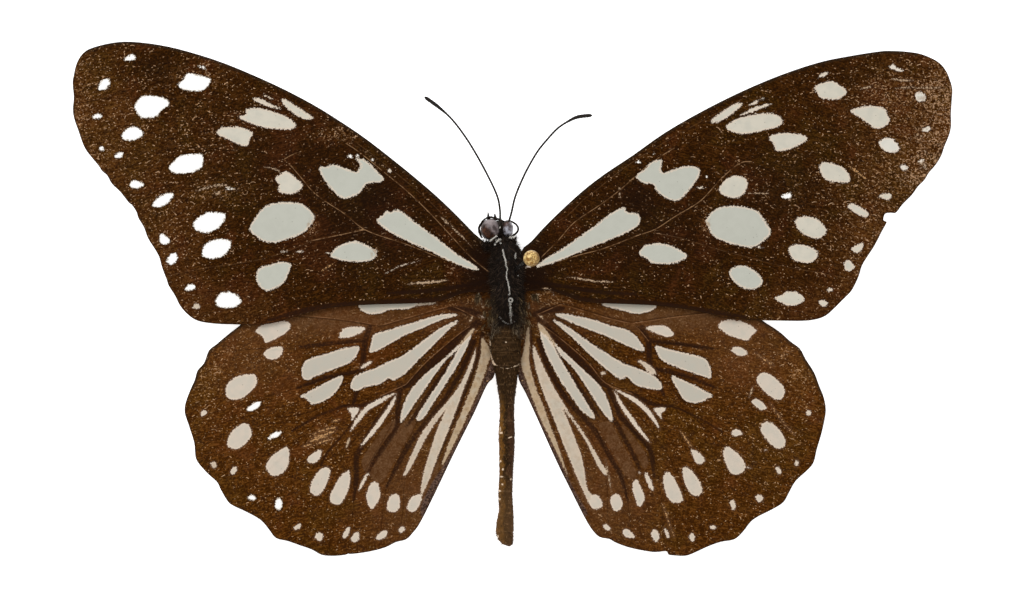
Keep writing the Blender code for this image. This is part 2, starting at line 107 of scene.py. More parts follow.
FOREWING_RIGHT = [
    1, 5, 2, 6, 3.9, 8.05, 7.05, 11, 9.6, 13, 12.6, 15, 16, 17.4, 20, 19.7, 24, 21.7, 28, 23.4, 32, 24.75,
    35, 25.4, 38.5, 25.97, 40, 26.03, 41.5, 25.95, 43, 25.7, 44.6, 25, 45.5, 24.1, 46, 23, 46.25, 22,
    46.2, 21, 46.1, 19.4, 46.12, 18.2, 45.9, 17.2, 45.4, 16, 45.1, 15.1, 44.5, 14.1, 43.8, 13.3, 43.3, 12.5,
    42.6, 11.8, 42, 10.95, 41, 9.95, 40.5, 9.3, 40.2, 9.02, 39.7, 9.05, 39.2, 8.98, 39.02, 8.7, 38.95, 8.28,
    39.2, 8.15, 39.3, 8, 38.8, 7.1, 38.4, 6.3, 37.9, 5.4, 37.3, 4.5, 36.7, 3.5, 36.4, 2.5, 36, 1.6,
    35.5, 0.75, 34.6, -0.15, 33.8, -0.95, 32.8, -1.8, 31.5, -2.2, 30, -2.3, 28, -2.27, 25, -2.2, 22, -1.95,
    20, -1.4, 16, -0.75, 11, -0.5, 8.6, -0.4, 6.8, -0.1, 5.4, 0.45, 4.2, 0.85, 3, 0.95, 1.1, 0.9, 1, 2.4,
]
HINDWING_LEFT = [
    -2.2, 1.3, -5, 1.4, -8, 1.7, -12, 2.3, -16, 2.4, -20, 1.9, -23, 1, -25.5, -0.3, -28.4, -2.65, -30, -3.9,
    -31, -4.75, -31.8, -5.4, -32.3, -6.7, -33, -7.5, -33.3, -8.5, -33.8, -9.6, -34.3, -11, -34.35, -12,
    -34, -13.1, -33.4, -15, -33.3, -16, -33.1, -17, -32, -18.3, -31, -19.2, -30.6, -20, -29.9, -21.2,
    -29.3, -21.7, -27.8, -22.4, -26.4, -23.2, -25.6, -24.1, -24.8, -25.1, -23.6, -25.4, -22.3, -25.85,
    -21, -26.3, -20, -26.85, -18.8, -26.96, -17.5, -26.85, -17.3, -26.7, -16.8, -26.75, -15, -26.5,
    -13.3, -26.05, -12.2, -25.5, -11.1, -25.2, -10.4, -24.5, -9.6, -23.4, -8, -20.2, -6, -16, -4, -12,
    -3.1, -10, -2.5, -8.8, -1.9, -8.15, -1.6, -6.5, -1.2, -3,
]
HINDWING_RIGHT = [
    1.2, 1.4, 3.8, 1.5, 6.5, 1.7, 10, 2.1, 14, 2.3, 18, 1.8, 21, 0.9, 23.5, -0.2, 26.1, -2.15, 28, -3.4,
    29.2, -4.45, 30.2, -5.2, 30.8, -6.3, 31.7, -7.7, 32.2, -9, 32.75, -10.4, 32.95, -11.7, 32.75, -13,
    32.45, -14.3, 32, -15.8, 31.7, -17.1, 31.1, -17.9, 29.8, -19.1, 29.1, -20.3, 28.5, -21.35, 27.3, -22.1,
    26, -22.75, 25.1, -23.35, 24.2, -24.5, 23.3, -25.25, 21.9, -25.5, 20.5, -26, 19.2, -26.6, 18.2, -26.95,
    16.9, -26.9, 16.4, -26.8, 16.2, -26.45, 15, -26.55, 13.6, -26.35, 12.1, -26, 10.8, -25.5, 10.2, -25.15,
    9.1, -24.9, 8.2, -23.9, 7.3, -22.3, 6.2, -20.1, 5, -17.7, 3.8, -15.1, 2.6, -12.4, 1.45, -9.9, 0.7, -8.4,
    0.5, -6.5, 0.2, -3,
]

# Pale marks: the closed outlines of each tint. The smooth curve through its points is a mark's edge.
MARKS_FOREWING_LEFT = {
    WHITE: [
        [-40.7, 25.1, -40.2, 25.55, -39.65, 25.65, -39.5, 25.2, -40.1, 25],
        [-43.4, 21.95, -43.3, 22.6, -42.9, 23.05, -42.3, 23.1, -42.25, 22.5, -42.8, 22],
        [-44.1, 19.1, -43.5, 19.5, -43.05, 19.3, -43.3, 18.9],
        [-39.6, 20.15, -39.3, 20.8, -38.7, 21.3, -37.4, 21.3, -36.2, 20.95, -36, 20.3, -36.8, 19.75,
         -37.2, 19.2, -38.3, 18.95, -39.1, 19.2],
        [-40.95, 17.2, -40.4, 17.9, -39.4, 18.05, -38.65, 17.4, -39.2, 16.85, -40, 16.62, -40.8, 16.75],
        [-35, 22.45, -34.4, 23.1, -34, 23.65, -33, 23.5, -31.6, 23.05, -31.95, 22.2, -32.5, 21.8,
         -33.5, 21.8, -34.6, 22],
        [-32.9, 24.45, -32.4, 24.4, -32.05, 24.15, -32.5, 24.15],
        [-41.7, 14.9, -41.4, 15.35, -40.8, 15.4, -40.9, 14.95, -41.35, 14.75],
        [-36, 13.8, -35.5, 14.4, -34.7, 15.05, -33.4, 15.2, -32.4, 15.1, -32.45, 14, -32.9, 13.5, -34, 13.2,
         -35.4, 13.2],
        [-40.15, 12, -39.7, 12.45, -38.9, 12.25, -38.6, 11.92, -39.3, 11.6, -39.9, 11.7],
        [-37.75, 9.8, -37.3, 10.5, -36.4, 11.05, -35.5, 11, -35.9, 10.25, -36.7, 9.68, -37.4, 9.62],
        [-33.4, 7.9, -32.8, 8.6, -31.9, 9.1, -30.9, 9.1, -30.05, 8.85, -30.3, 7.9, -31.2, 7.15, -32.3, 6.93,
         -33.2, 7.3],
        [-37, 6.3, -36.8, 6.87, -36.2, 6.55, -35.85, 6.1, -36.2, 5.72, -36.8, 5.8],
        [-32.5, 4.7, -32.3, 5.6, -31.4, 6.15, -30.5, 6.3, -29.45, 6.05, -29.65, 5.1, -30.4, 4.45,
         -31.5, 4.2, -32.3, 4.4],
        [-36.2, 4.1, -35.8, 4.7, -35.2, 4.85, -35.1, 4.2, -35.5, 3.62, -36.05, 3.7],
        [-34.3, 0.95, -34, 1.5, -33.4, 1.55, -33.15, 1.15, -33.7, 0.85],
        [-31.05, -0.15, -30.6, 0.55, -29.8, 0.75, -28.9, 0.5, -28.35, -0.2, -28.8, -0.75, -29.9, -0.93,
         -30.8, -0.8],
    ],
    PINK: [
        [-33.5, -0.9, -33.2, -0.5, -32.75, -0.6, -32.85, -0.97],
        [-26.1, 21.42, -25.5, 21.25, -24.9, 20.85, -25.5, 21.03],
    ],
    CREAM: [
        [-27.1, 20.95, -26.4, 21, -25.4, 20.5, -24.2, 19.9, -25.2, 20.08, -26.3, 20.45],
        [-24.15, 20.85, -23.6, 20.85, -22.6, 20.2, -21.4, 19.4, -20.8, 18.98, -21.5, 18.78, -22.6, 19.25,
         -23.6, 20.05],
        [-28.6, 19.05, -27.9, 19.35, -27.85, 19.8, -27.2, 20, -26, 19.9, -24.6, 19.5, -23.2, 18.85,
         -22.6, 18.1, -23.4, 17.75, -24.5, 17.8, -26, 17.95, -27.6, 18.5],
        [-30.9, 17.3, -30.6, 17.9, -29.4, 18.02, -28.4, 17.98, -27.2, 17.45, -27.5, 16.6, -27.7, 16.05,
         -28.7, 16.2, -29.9, 16.8],
        [-24.75, 12.6, -24.2, 13.05, -23.6, 13.35, -22.8, 12.8, -21.95, 12, -22.2, 11.4, -23, 11,
         -24.1, 11.1, -24.5, 11.45, -24.35, 11.95],
    ],
    GREY: [
        [-27.5, 7.45, -27, 8.3, -26.3, 9.3, -25.4, 9.9, -24, 10.12, -22.5, 10.08, -21.6, 9.7, -20.65, 8.6,
         -21.1, 7.7, -22, 6.85, -23.4, 6.3, -24.9, 5.87, -26.1, 6.1, -27.1, 6.8],
        [-26.8, 2.3, -26.4, 3.25, -25.1, 3.65, -24, 3.9, -23.1, 3.6, -23.35, 2.8, -23.9, 1.7, -24.9, 1.05,
         -25.8, 0.9, -26.55, 1.5],
        [-20.15, 13.75, -19.4, 13.85, -18.7, 14.1, -17.7, 13.75, -16.7, 13.4, -16.2, 13.3, -15.85, 14,
         -16.3, 14.72, -15.5, 14.6, -14.7, 14, -14.1, 13.35, -13.4, 12.6, -13.8, 12.2, -15.1, 12.08,
         -15.6, 11.5, -16.1, 11, -17.3, 10.5, -18.2, 10.8, -19.2, 11.9, -19.8, 12.7],
        [-14.15, 8.25, -13.5, 8.75, -13.1, 9.2, -12.6, 9.05, -12.3, 9.3, -11.6, 9.2, -10.6, 8.4, -9, 7.2,
         -7.5, 6.1, -5.6, 4.6, -4.1, 3.7, -3.5, 3.05, -4.7, 3.22, -6.4, 3.9, -8.4, 4.9, -10.4, 5.8,
         -12.6, 6.9, -13.6, 7.6],
        [-19, 4.55, -18.3, 5.45, -17.3, 5.87, -16.1, 6, -15, 5.5, -14.1, 4.95, -14.6, 4.1, -16, 3.88,
         -17.6, 4, -18.6, 4.3],
    ],
}
MARKS_FOREWING_RIGHT = {
    BRIGHT: [
        [39.5, 24.4, 40.1, 24.55, 40.4, 24.3, 41.1, 24, 40.5, 23.9, 39.9, 24.1],
        [42.3, 21.4, 42.6, 21.75, 43.2, 21.6, 43.5, 20.95, 43, 20.68, 42.5, 20.85],
        [43, 17.75, 43.7, 18.15, 43.95, 17.8, 43.5, 17.52],
        [38.5, 16.4, 39, 16.85, 39.8, 16.85, 40.5, 16.2, 40.65, 15.65, 40.1, 15.35, 39.2, 15.5,
         38.7, 15.95],
        [40.65, 13.95, 41.2, 14.12, 41.65, 13.7, 41.1, 13.55],
        [42.65, 14.5, 43.2, 14.68, 43.25, 14.4, 42.85, 14.33],
    ],
    CREAM: [
        [35.5, 19.7, 36.5, 20.1, 37.8, 20.28, 39.1, 19.95, 39.4, 19.3, 39.65, 18.8, 39.1, 18.1, 38.2, 17.9,
         37.3, 18.4, 36.6, 18.95],
        [31.7, 22.15, 32.5, 22.65, 33.6, 22.82, 34.5, 22.3, 35.1, 21.65, 34.4, 21.05, 33.4, 20.88,
         32.3, 21.1, 32, 21.6],
        [32.15, 23.28, 32.7, 23.75, 33.15, 23.75, 32.8, 23.38],
        [38.45, 10.8, 39, 11.07, 39.85, 10.95, 39.5, 10.4, 38.8, 10.6],
        [32.25, 14, 32.8, 14.33, 34, 14.1, 34.9, 13.6, 35.5, 12.7, 35.2, 12.2, 34.2, 12.25, 33.1, 12.4,
         32.45, 13],
        [35.25, 9.65, 35.7, 10, 36.6, 9.6, 37.4, 9, 37.1, 8.6, 36.2, 8.9],
        [29.7, 8.3, 30.3, 8.6, 31.3, 8.63, 32.2, 8.2, 32.95, 7.2, 32.5, 6.45, 31.5, 6.4, 30.4, 6.9,
         29.8, 7.6],
        [35.55, 5.3, 36.1, 5.62, 36.8, 5.85, 36.7, 5.2, 36.1, 4.83],
        [28.95, 5.2, 29.5, 5.68, 30.6, 5.66, 31.8, 5.15, 32, 4.4, 31.2, 3.8, 30.2, 3.9, 29.4, 4.2],
        [34.8, 3.75, 35.3, 4.08, 35.9, 3.4, 35.5, 2.95, 35, 3.05],
        [33, 1.02, 33.5, 1.17, 33.65, 0.85, 33.25, 0.82],
        [32.2, -0.15, 32.8, -0.13, 33.12, -0.5, 32.6, -0.8, 32.25, -0.5],
        [27.5, 0.1, 28.2, 0.35, 28.9, 0.8, 30, 0.65, 30.6, 0.05, 30.2, -0.5, 29.2, -0.68, 28.2, -0.4],
        [20.8, 18.5, 21.2, 19.05, 22.2, 19.75, 23.3, 20.4, 24.15, 20.5, 23.6, 19.85, 22.5, 19, 21.6, 18.52],
        [23.9, 19.25, 25.2, 19.95, 26.5, 20.4, 27.2, 20.42, 26.2, 19.98, 24.9, 19.5],
        [24.8, 20.28, 25.5, 20.75, 26, 20.87, 25.4, 20.42],
        [22.4, 17.95, 23.1, 18.65, 24.4, 19.1, 26, 19.42, 27.4, 19.4, 28.3, 18.8, 28, 18.1, 26.6, 17.72,
         25, 17.35, 23.6, 17.35],
        [26.9, 16.9, 27.9, 17.33, 29.2, 17.38, 30.4, 17.2, 31, 16.8, 30.2, 16.2, 28.9, 15.65, 27.6, 15.5,
         27.5, 16.1],
        [21.65, 11.5, 22.2, 12.3, 23, 12.85, 24.1, 12.8, 24.65, 12.1, 24.2, 10.95, 23.2, 10.55, 22.1, 10.9],
    ],
    GREY: [
        [20.3, 8.2, 20.8, 9, 21.8, 9.6, 23.2, 9.75, 24.8, 9.53, 25.8, 9.1, 26.6, 8, 27.1, 6.95, 26.2, 5.95,
         25, 5.38, 23.5, 5.65, 22, 6.1, 21, 6.65, 20.5, 7.6],
        [22.75, 2.6, 23.2, 3.35, 24.4, 3.45, 25.4, 2.95, 26.2, 2.1, 26, 1.35, 24.8, 1, 23.6, 1.5],
        [12.95, 12.8, 13.9, 13.6, 14.6, 14.3, 15.6, 14.62, 15.65, 14, 15.55, 13.5, 15.9, 13.2, 17, 13.55,
         18.2, 13.9, 19.5, 13.7, 19.6, 13, 19, 12, 18.2, 11, 17.4, 10.3, 16.4, 10.4, 15.2, 11.2, 14.7, 12,
         13.8, 12.1],
        [2.5, 3.33, 3.3, 4.1, 5.2, 5.2, 7.1, 6.55, 9, 7.9, 9.8, 8.6, 11.2, 9.45, 11.8, 9.55, 12, 9.1,
         13.2, 8.85, 13.35, 7.9, 12.2, 7.05, 10.3, 6.2, 8, 5.3, 6, 4.45, 4, 3.68],
        [13.3, 5, 14, 5.65, 15.3, 5.82, 16.6, 5.58, 17.6, 5.1, 18.35, 4.5, 17.5, 3.9, 16.2, 3.65,
         14.7, 3.78, 13.95, 4.3, 13.45, 4.55],
    ],
    WHITE: [
        [28.1, 10.85, 28.6, 10.97, 29.1, 11.17, 29.25, 10.7, 28.7, 10.48],
    ],
}
MARKS_HINDWING_LEFT = {
    CREAM: [
        [-26.9, -3.4, -26.2, -2.7, -25.1, -2.5, -23.8, -2.35, -23.3, -2.55, -23.25, -2.95, -23.7, -3.55,
         -25.2, -4.4, -25.85, -4.55, -26.1, -4, -26.5, -3.65],
        [-26, -5.75, -25.65, -5.3, -24.8, -5, -24.15, -5.05, -24, -5.45, -24.4, -6.1, -25.15, -6.35,
         -25.7, -6.2],
        [-30, -10, -29.9, -9, -29, -8.2, -27.7, -7.9, -26.9, -7.98, -26.8, -8.9, -27.3, -9.6, -28.2, -10.35,
         -29, -10.55, -29.7, -10.45],
        [-32.7, -12.3, -32.5, -11.7, -32, -11.8, -32.3, -12.25],
        [-29.9, -15, -29.4, -13.9, -28.3, -13.1, -27.6, -13.25, -27.3, -14.2, -28, -15.2, -28.9, -15.75,
         -29.7, -15.5],
        [-25.8, -17.5, -25.2, -16.5, -24.2, -15.8, -23.6, -15.5, -23.35, -16.3, -23.6, -17.7, -24.5, -18.5,
         -25.4, -18.4],
        [-29.6, -18.2, -29.2, -17.65, -28.85, -17.8, -29.2, -18.4],
        [-21.5, -16.9, -20.9, -16.2, -20, -15.8, -20.1, -16.6, -20.8, -17.25],
        [-21.2, -20, -20.85, -18.9, -20.2, -18, -19.4, -17.6, -19.05, -18.2, -19.5, -19.5, -20.2, -20.55,
         -20.9, -20.5],
        [-19.1, -20.7, -18.6, -19.6, -17.9, -18.5, -17.1, -18, -16.95, -18.9, -17.3, -20.4, -18, -21.5,
         -18.9, -21.4],
        [-22.9, -24, -22.3, -23.55, -22.2, -24, -22.7, -24.2],
        [-20.7, -24.9, -20.3, -24.5, -19.8, -24.8, -20.1, -25.4, -20.5, -25.2],
        [-15.3, -20.8, -15, -19.7, -14.5, -19.15, -14, -19.5, -13.8, -20.6, -14.3, -21.6, -14.8, -22],
        [-16.1, -20.1, -15.7, -19, -15.15, -18.2, -15.3, -18.9, -15.75, -19.7],
        [-13.1, -22, -12.9, -20.9, -12.3, -20.4, -11.8, -20.8, -11.8, -21.9, -12.4, -22.35],
        [-11, -22, -10.7, -21, -10, -20.5, -9.45, -20.6, -9.7, -21.6, -10.3, -22.3],
        [-17.8, -24.9, -17.4, -24.1, -17, -23.95, -17.1, -24.6, -17.45, -25.05],
        [-16.9, -25.2, -16.5, -24.5, -16.05, -24.55, -16.1, -25.2, -16.45, -25.5],
        [-14.3, -25.1, -13.8, -24.45, -13.1, -24.3, -13.2, -24.9, -13.8, -25.2],
        [-11.9, -24.2, -11.5, -23.82, -11.2, -24.15, -11.6, -24.5],
        [-18.1, -4, -17.6, -3.1, -16.6, -2.9, -15.4, -3, -15.8, -3.5, -17, -4],
        [-15.95, -7.25, -15.2, -6.65, -14.6, -6.5, -15.2, -7.05],
        [-17.2, -11.45, -16, -11.45, -16.3, -12.1, -16.75, -12.7, -16.85, -12],
    ],
    WHITE: [
        [-27.9, -11.6, -27.1, -10.9, -26.3, -10.7, -26.6, -11.4, -27.3, -11.75],
        [-25.6, -14.6, -24.9, -13.95, -24.2, -13.95, -24.5, -14.4, -25.3, -14.72],
    ],
    PINK: [
        [-31.6, -17.15, -31.15, -17.15, -31.05, -17.6, -31.4, -17.75],
        [-3.75, -5.1, -4.1, -7, -4.9, -9, -5.7, -11.2, -6.6, -13.6, -7.7, -16.3, -8.7, -19, -9.55, -20.6,
         -9.3, -18.4, -8.5, -15.7, -7.8, -13.6, -7.2, -12.2, -6.95, -11.6, -7.6, -12.4, -8.9, -14.3,
         -9.9, -16.3, -10.8, -18, -11.4, -18.5, -10.7, -16.7, -9.7, -14.5, -8.4, -12.6, -7, -11, -5.6, -9.2,
         -4.6, -7.2],
    ],
    GREY: [
        [-16.05, -0.5, -15.8, -1.2, -14.9, -1.55, -13.8, -1.5, -12.6, -1.1, -11, -1.05, -9.9, -0.6,
         -10.4, -0.25, -13, -0.2, -15.6, -0.2],
        [-22, -8.1, -21.9, -6.9, -21.2, -6.25, -19.5, -5.75, -17.6, -5.15, -16.1, -4.95, -16.1, -5.6,
         -16.9, -6.6, -18.8, -7.4, -20.6, -8.1, -21.4, -8.5],
        [-22.2, -10.2, -20.9, -9.5, -19.4, -8.7, -17.8, -8.02, -17.9, -8.9, -18.8, -10.1, -20.2, -10.9,
         -21, -11, -21.6, -10.45],
        [-14.9, -5.5, -14.7, -4.5, -14.4, -3.7, -12.8, -3.2, -10.5, -2.5, -8, -1.75, -6.5, -1.53,
         -5.7, -1.7, -7.4, -2.2, -9.4, -3.05, -11.2, -3.8, -12.8, -4.7, -14.2, -5.45],
        [-16.9, -9.3, -16.6, -8.3, -15.8, -7.75, -14.2, -7.2, -12.8, -6.5, -11.5, -5.95, -9.6, -4.6,
         -7.6, -3.1, -5.6, -2.22, -6.6, -3.2, -8, -4.6, -9.5, -6.1, -11.2, -7.8, -12.3, -8.45, -13, -8.33,
         -13.9, -8.95, -15.2, -9.15, -16.2, -9.6],
        [-11.7, -12.8, -11.4, -11.2, -10.5, -9.4, -9, -7.8, -7.2, -6.3, -5.9, -5.1, -5.3, -4.6, -5.6, -5.2,
         -6.9, -6.4, -8.2, -8.1, -9.5, -10, -10.8, -11.9, -11.4, -12.7],
        [-10, -12.5, -8.9, -10.6, -7.5, -8.5, -6.4, -6.7, -5.5, -5, -4.9, -4.3, -4.3, -3.8, -4.5, -4.5,
         -5.4, -6.4, -6.8, -8.7, -8.3, -11, -9.4, -12.6],
    ],
    TAN: [
        [-3.95, -3.1, -4.35, -3.3, -5, -4.1, -5.7, -4.95, -5.3, -4.75, -4.75, -4.25, -4.25, -3.75],
        [-3.1, -4, -2.7, -4.6, -2.2, -5.6, -2.6, -7, -3.3, -9, -4.3, -11.4, -5.4, -13.8, -6.6, -16.2,
         -7.4, -17.5, -6.8, -15.6, -5.9, -13.3, -4.9, -10.9, -3.9, -8.2, -3.3, -6, -3.2, -4.8],
    ],
}
MARKS_HINDWING_RIGHT = {
    CREAM: [
        [21.6, -2.85, 22.1, -2.3, 23.2, -2.2, 24.6, -2.55, 25.6, -3.25, 25.1, -3.85, 24.7, -4.35,
         23.6, -4.1, 22.4, -3.6],
        [23, -5.4, 23.3, -4.97, 24.2, -5.2, 24.65, -5.65, 24.2, -6, 23.4, -5.75],
        [25.65, -8.6, 26, -7.85, 26.8, -7.8, 27.8, -8.45, 28.6, -9.5, 28.3, -10.45, 27.6, -10.5,
         26.5, -9.75],
        [25.1, -10.8, 25.5, -10.45, 26.2, -10.8, 26.7, -11.45, 26.1, -11.65, 25.4, -11.1],
        [26.05, -13.6, 26.5, -12.9, 27.3, -13.05, 28.1, -13.8, 28.7, -14.9, 28.4, -15.6, 27.6, -15.6,
         26.6, -14.6],
        [23, -14, 23.5, -13.65, 24.2, -14.1, 23.8, -14.35, 23.2, -14.35],
        [22.15, -16.3, 22.4, -15.5, 23.2, -15.8, 24.1, -16.7, 24.5, -17.6, 24, -18.3, 23.1, -18.35,
         22.5, -17.4],
        [27.65, -17.7, 28, -17.65, 28.3, -18.2, 27.95, -18.38],
        [25.55, -20.8, 25.9, -20.55, 26.4, -20.9, 25.9, -21.35],
        [22.85, -21.35, 23.2, -21.1, 23.5, -21.7, 23.2, -22.15],
        [18.8, -15.8, 19.3, -15.9, 20.1, -16.6, 20.1, -17.15, 19.4, -17.25, 19, -16.5],
        [17.9, -17.75, 18.3, -17.62, 19, -18.2, 19.8, -19.4, 19.9, -20.3, 19.2, -20.65, 18.5, -20.1,
         18, -18.9],
        [15.9, -18.6, 16.3, -18.1, 16.9, -18.7, 17.6, -20, 17.95, -21.1, 17.2, -21.38, 16.5, -21.05,
         15.95, -19.8],
        [20.75, -23.85, 21.1, -23.75, 21.4, -24, 21, -24.15],
        [18.55, -25, 18.85, -24.53, 19.2, -24.9, 18.95, -25.5],
        [12.6, -19.5, 13, -18.9, 13.45, -19.6, 13.9, -20.8, 13.5, -21.7, 13.1, -21.5, 12.8, -20.5],
        [13.85, -18.2, 14.25, -18.4, 14.7, -19.4, 14.85, -20.1, 14.4, -19.75, 14, -18.8],
        [10.3, -21.2, 10.6, -20.5, 11.2, -20.55, 11.6, -21.4, 11.3, -22.1, 10.7, -22.15],
        [8, -21.2, 8.3, -20.55, 9, -20.6, 9.5, -21.5, 9, -22, 8.3, -21.8],
        [14.6, -24.5, 15, -24.13, 15.5, -24.9, 15.1, -25.45, 14.7, -25],
        [15.95, -24, 16.3, -24.3, 16.5, -24.95, 16.2, -24.95],
        [11.6, -24.3, 12.1, -24.12, 12.9, -24.9, 12.5, -25.05, 11.8, -24.85],
        [9.55, -23.7, 10, -23.65, 10.35, -24.1, 9.9, -24.25],
        [14, -3, 15, -2.8, 16.1, -2.83, 16.95, -3.7, 16.2, -3.95, 15.1, -3.6],
        [14.85, -11.5, 15.8, -11.38, 16.1, -11.55, 15.6, -12, 15.75, -12.65, 15.2, -12.05],
    ],
    GREY: [
        [9.4, -0.6, 10, -0.3, 13, -0.25, 15, -0.5, 14.8, -1.1, 13.9, -1.45, 12.8, -1.55, 11.5, -1.18,
         10.2, -0.88],
        [15.05, -4.85, 16.2, -5.2, 17.6, -5.55, 19.2, -5.9, 20.3, -6.3, 20.8, -7.3, 20.8, -8.3, 20.1, -8.12,
         18.6, -7.65, 16.9, -7, 15.7, -6.4, 15.15, -5.6],
        [16.65, -8.05, 17.8, -8.45, 19.1, -9.05, 20.1, -9.6, 21.05, -10.1, 20.3, -10.55, 19.2, -10.9,
         18, -10.55, 17.4, -9.6],
        [4.5, -1.6, 5.5, -1.53, 7.1, -1.85, 8.8, -2.25, 10.4, -2.8, 12, -3.2, 13, -3.9, 13.6, -4.8,
         13.8, -5.5, 12.5, -5.1, 11.2, -4.5, 9.5, -3.75, 7.8, -3.1, 6.2, -2.45],
        [4.2, -2.15, 5.2, -2.5, 6.7, -3.5, 8.2, -4.6, 9.8, -5.6, 11.4, -6.6, 13, -7.2, 14.7, -7.95,
         15.6, -8.8, 15.5, -9.5, 14, -9.3, 12.8, -8.9, 12, -8.15, 11.4, -8.4, 10.3, -7.7, 9, -6.6,
         7.9, -5.6, 6.8, -4.5, 5.8, -3.6],
        [4.4, -4.55, 5.2, -5.3, 6.6, -6.6, 8, -7.9, 9.2, -9.1, 10, -10.5, 10.5, -12.2, 10.4, -12.8,
         9.3, -11.6, 8.1, -9.7, 6.7, -7.6, 5.7, -6.5, 4.9, -5.65],
        [2.95, -3.5, 3.3, -5, 4.2, -7, 5.1, -8.6, 6.1, -10.1, 7.2, -11.6, 8.2, -12.4, 8.7, -12.35, 7.9, -11,
         7, -9.5, 6.1, -8, 5.2, -6.5, 4.6, -5.3, 3.7, -4.05],
    ],
    PINK: [
        [13.1, -6.4, 14, -6.65, 14.8, -7.3, 15.1, -7.85, 14.4, -7.7, 13.7, -6.95],
        [9.3, -7.65, 9.6, -7.6, 9.8, -7.8, 9.45, -7.9],
        [2.2, -4.8, 2.4, -7, 3, -9, 3.8, -11.1, 4.7, -13.4, 5.5, -15.5, 6.3, -17.4, 7.1, -19.3, 8, -21.2,
         8.4, -20.6, 7.9, -19.9, 7.6, -18, 7.2, -16.2, 6.6, -14.6, 5.9, -12.8, 5.3, -11.5, 6, -12.3,
         6.9, -13.6, 7.9, -15.2, 8.8, -17.1, 9.6, -18.35, 9.95, -18.2, 9.3, -17, 8.3, -15.3, 7.3, -13.7,
         6.2, -12.2, 5.2, -10.6, 4.3, -9.1, 3.3, -7.1],
    ],
    TAN: [
        [2.7, -2.55, 3.15, -2.75, 3.65, -3.4, 4.25, -4.25, 4.8, -5.1, 4.35, -4.85, 3.65, -3.95, 3.1, -3.6,
         2.85, -3.2],
        [1.55, -3.1, 1.8, -3.1, 1.85, -5, 1.8, -6.6, 2.4, -9, 3.3, -11.3, 4.1, -13.5, 4.9, -15.6,
         5.8, -18.4, 5, -16.7, 4.2, -15, 3.3, -13.2, 2.4, -11.1, 1.5, -8.5, 0.95, -6.8, 1.2, -5.5,
         1.4, -4.2],
    ],
}

# Small oval marks: for each tint the middles and the half sizes
OVALS_FOREWING_LEFT = {
    WHITE: [(-43.1, 15.8, 0.25, 0.25), (-16.95, 14.93, 0.25, 0.17), (-16.1, 14.95, 0.17, 0.12),
        (-14.6, 14.55, 0.15, 0.15), (-29.5, 11.55, 0.35, 0.13)],
    CREAM: [(-12.8, 13.4, 0.2, 0.2), (-23.8, 4.95, 0.2, 0.06), (-22.2, 4.93, 0.22, 0.08),
        (-19.2, 4.8, 0.15, 0.07)],
}
OVALS_FOREWING_RIGHT = {
    PINK: [(43.05, 14.25, 0.2, 0.12), (43.35, 13.95, 0.14, 0.2)],
    TAN: [(42.95, 13.75, 0.12, 0.1), (43.45, 13.6, 0.1, 0.12), (43.4, 15.5, 0.15, 0.1),
        (42.6, 17.25, 0.2, 0.12), (42.95, 17.1, 0.12, 0.1), (11.3, 11.5, 0.09, 0.09),
        (11.25, 11, 0.08, 0.08), (11.25, 10.6, 0.08, 0.08)],
    WHITE: [(26.3, 20.95, 0.13, 0.12), (13.25, 14.3, 0.2, 0.12), (14.9, 15.2, 0.1, 0.1),
        (20.35, 12.8, 0.12, 0.12)],
    CREAM: [(19.7, 11.65, 0.25, 0.07), (25.8, 5.45, 0.25, 0.08)],
}
OVALS_HINDWING_LEFT = {
    WHITE: [(-27.3, -20.85, 0.43, 0.3), (-24.5, -21.5, 0.4, 0.62)],
    CREAM: [(-15, -18.35, 0.1, 0.1)],
}
OVALS_HINDWING_RIGHT = {
    CREAM: [(31.15, -11.95, 0.27, 0.27), (29.9, -17.25, 0.2, 0.28), (13.35, -18.2, 0.1, 0.1),
        (24.75, -17.68, 0.17, 0.08), (26.6, -15.85, 0.12, 0.1)],
}

# Pale streaks: for each tint the half width in the middle, and the line that the streak follows
STREAKS_FOREWING_LEFT = {
    TAN: [
        (0.11, [-11.1, 1.58, -9, 1.72, -6.5, 2]), (0.06, [-7.5, 8.6, -6.4, 7.6, -5.3, 6.6, -4.3, 5.6]),
        (0.07, [-33.2, 11.3, -31.7, 11.75, -30.2, 11.95, -29.4, 11.5, -28.5, 11.4]),
        (0.09, [-31.2, 11.25, -30.9, 11, -30.6, 11.3]),
        (0.06, [-24.2, 13.1, -24.6, 13.5, -25.3, 13.7, -26, 13.85]),
    ],
    PINK: [
        (0.03, [-13.3, 2.6, -11.8, 3.4, -10.4, 3.8, -9.4, 4.1]),
    ],
    OCHRE: [
        (0.05, [-20, 2.9, -18.7, 3.7]),
    ],
}
STREAKS_FOREWING_RIGHT = {
    TAN: [
        (0.035, [3.1, 1.05, 3.5, 1.1, 4, 1]), (0.08, [5.6, 2.3, 6.5, 2.2, 8, 1.95, 9, 1.85, 10.7, 1.75]),
        (0.05, [24.4, 11.1, 27, 11.05]), (0.07, [39.8, 23.1, 41, 22.95, 42.2, 22.9]),
        (0.07, [36.6, 22, 37.2, 22.15, 37.9, 22.4]),
        (0.07, [40.2, 22.1, 41.7, 22.2, 43, 22.15, 45.5, 22.2]),
    ],
    CREAM: [
        (0.08, [1.4, 3.25, 1.7, 3.4, 2, 3.3]),
    ],
    OCHRE: [
        (0.07, [35.2, 14, 36, 13.5, 36.9, 12.8, 37.5, 12.4]),
    ],
}
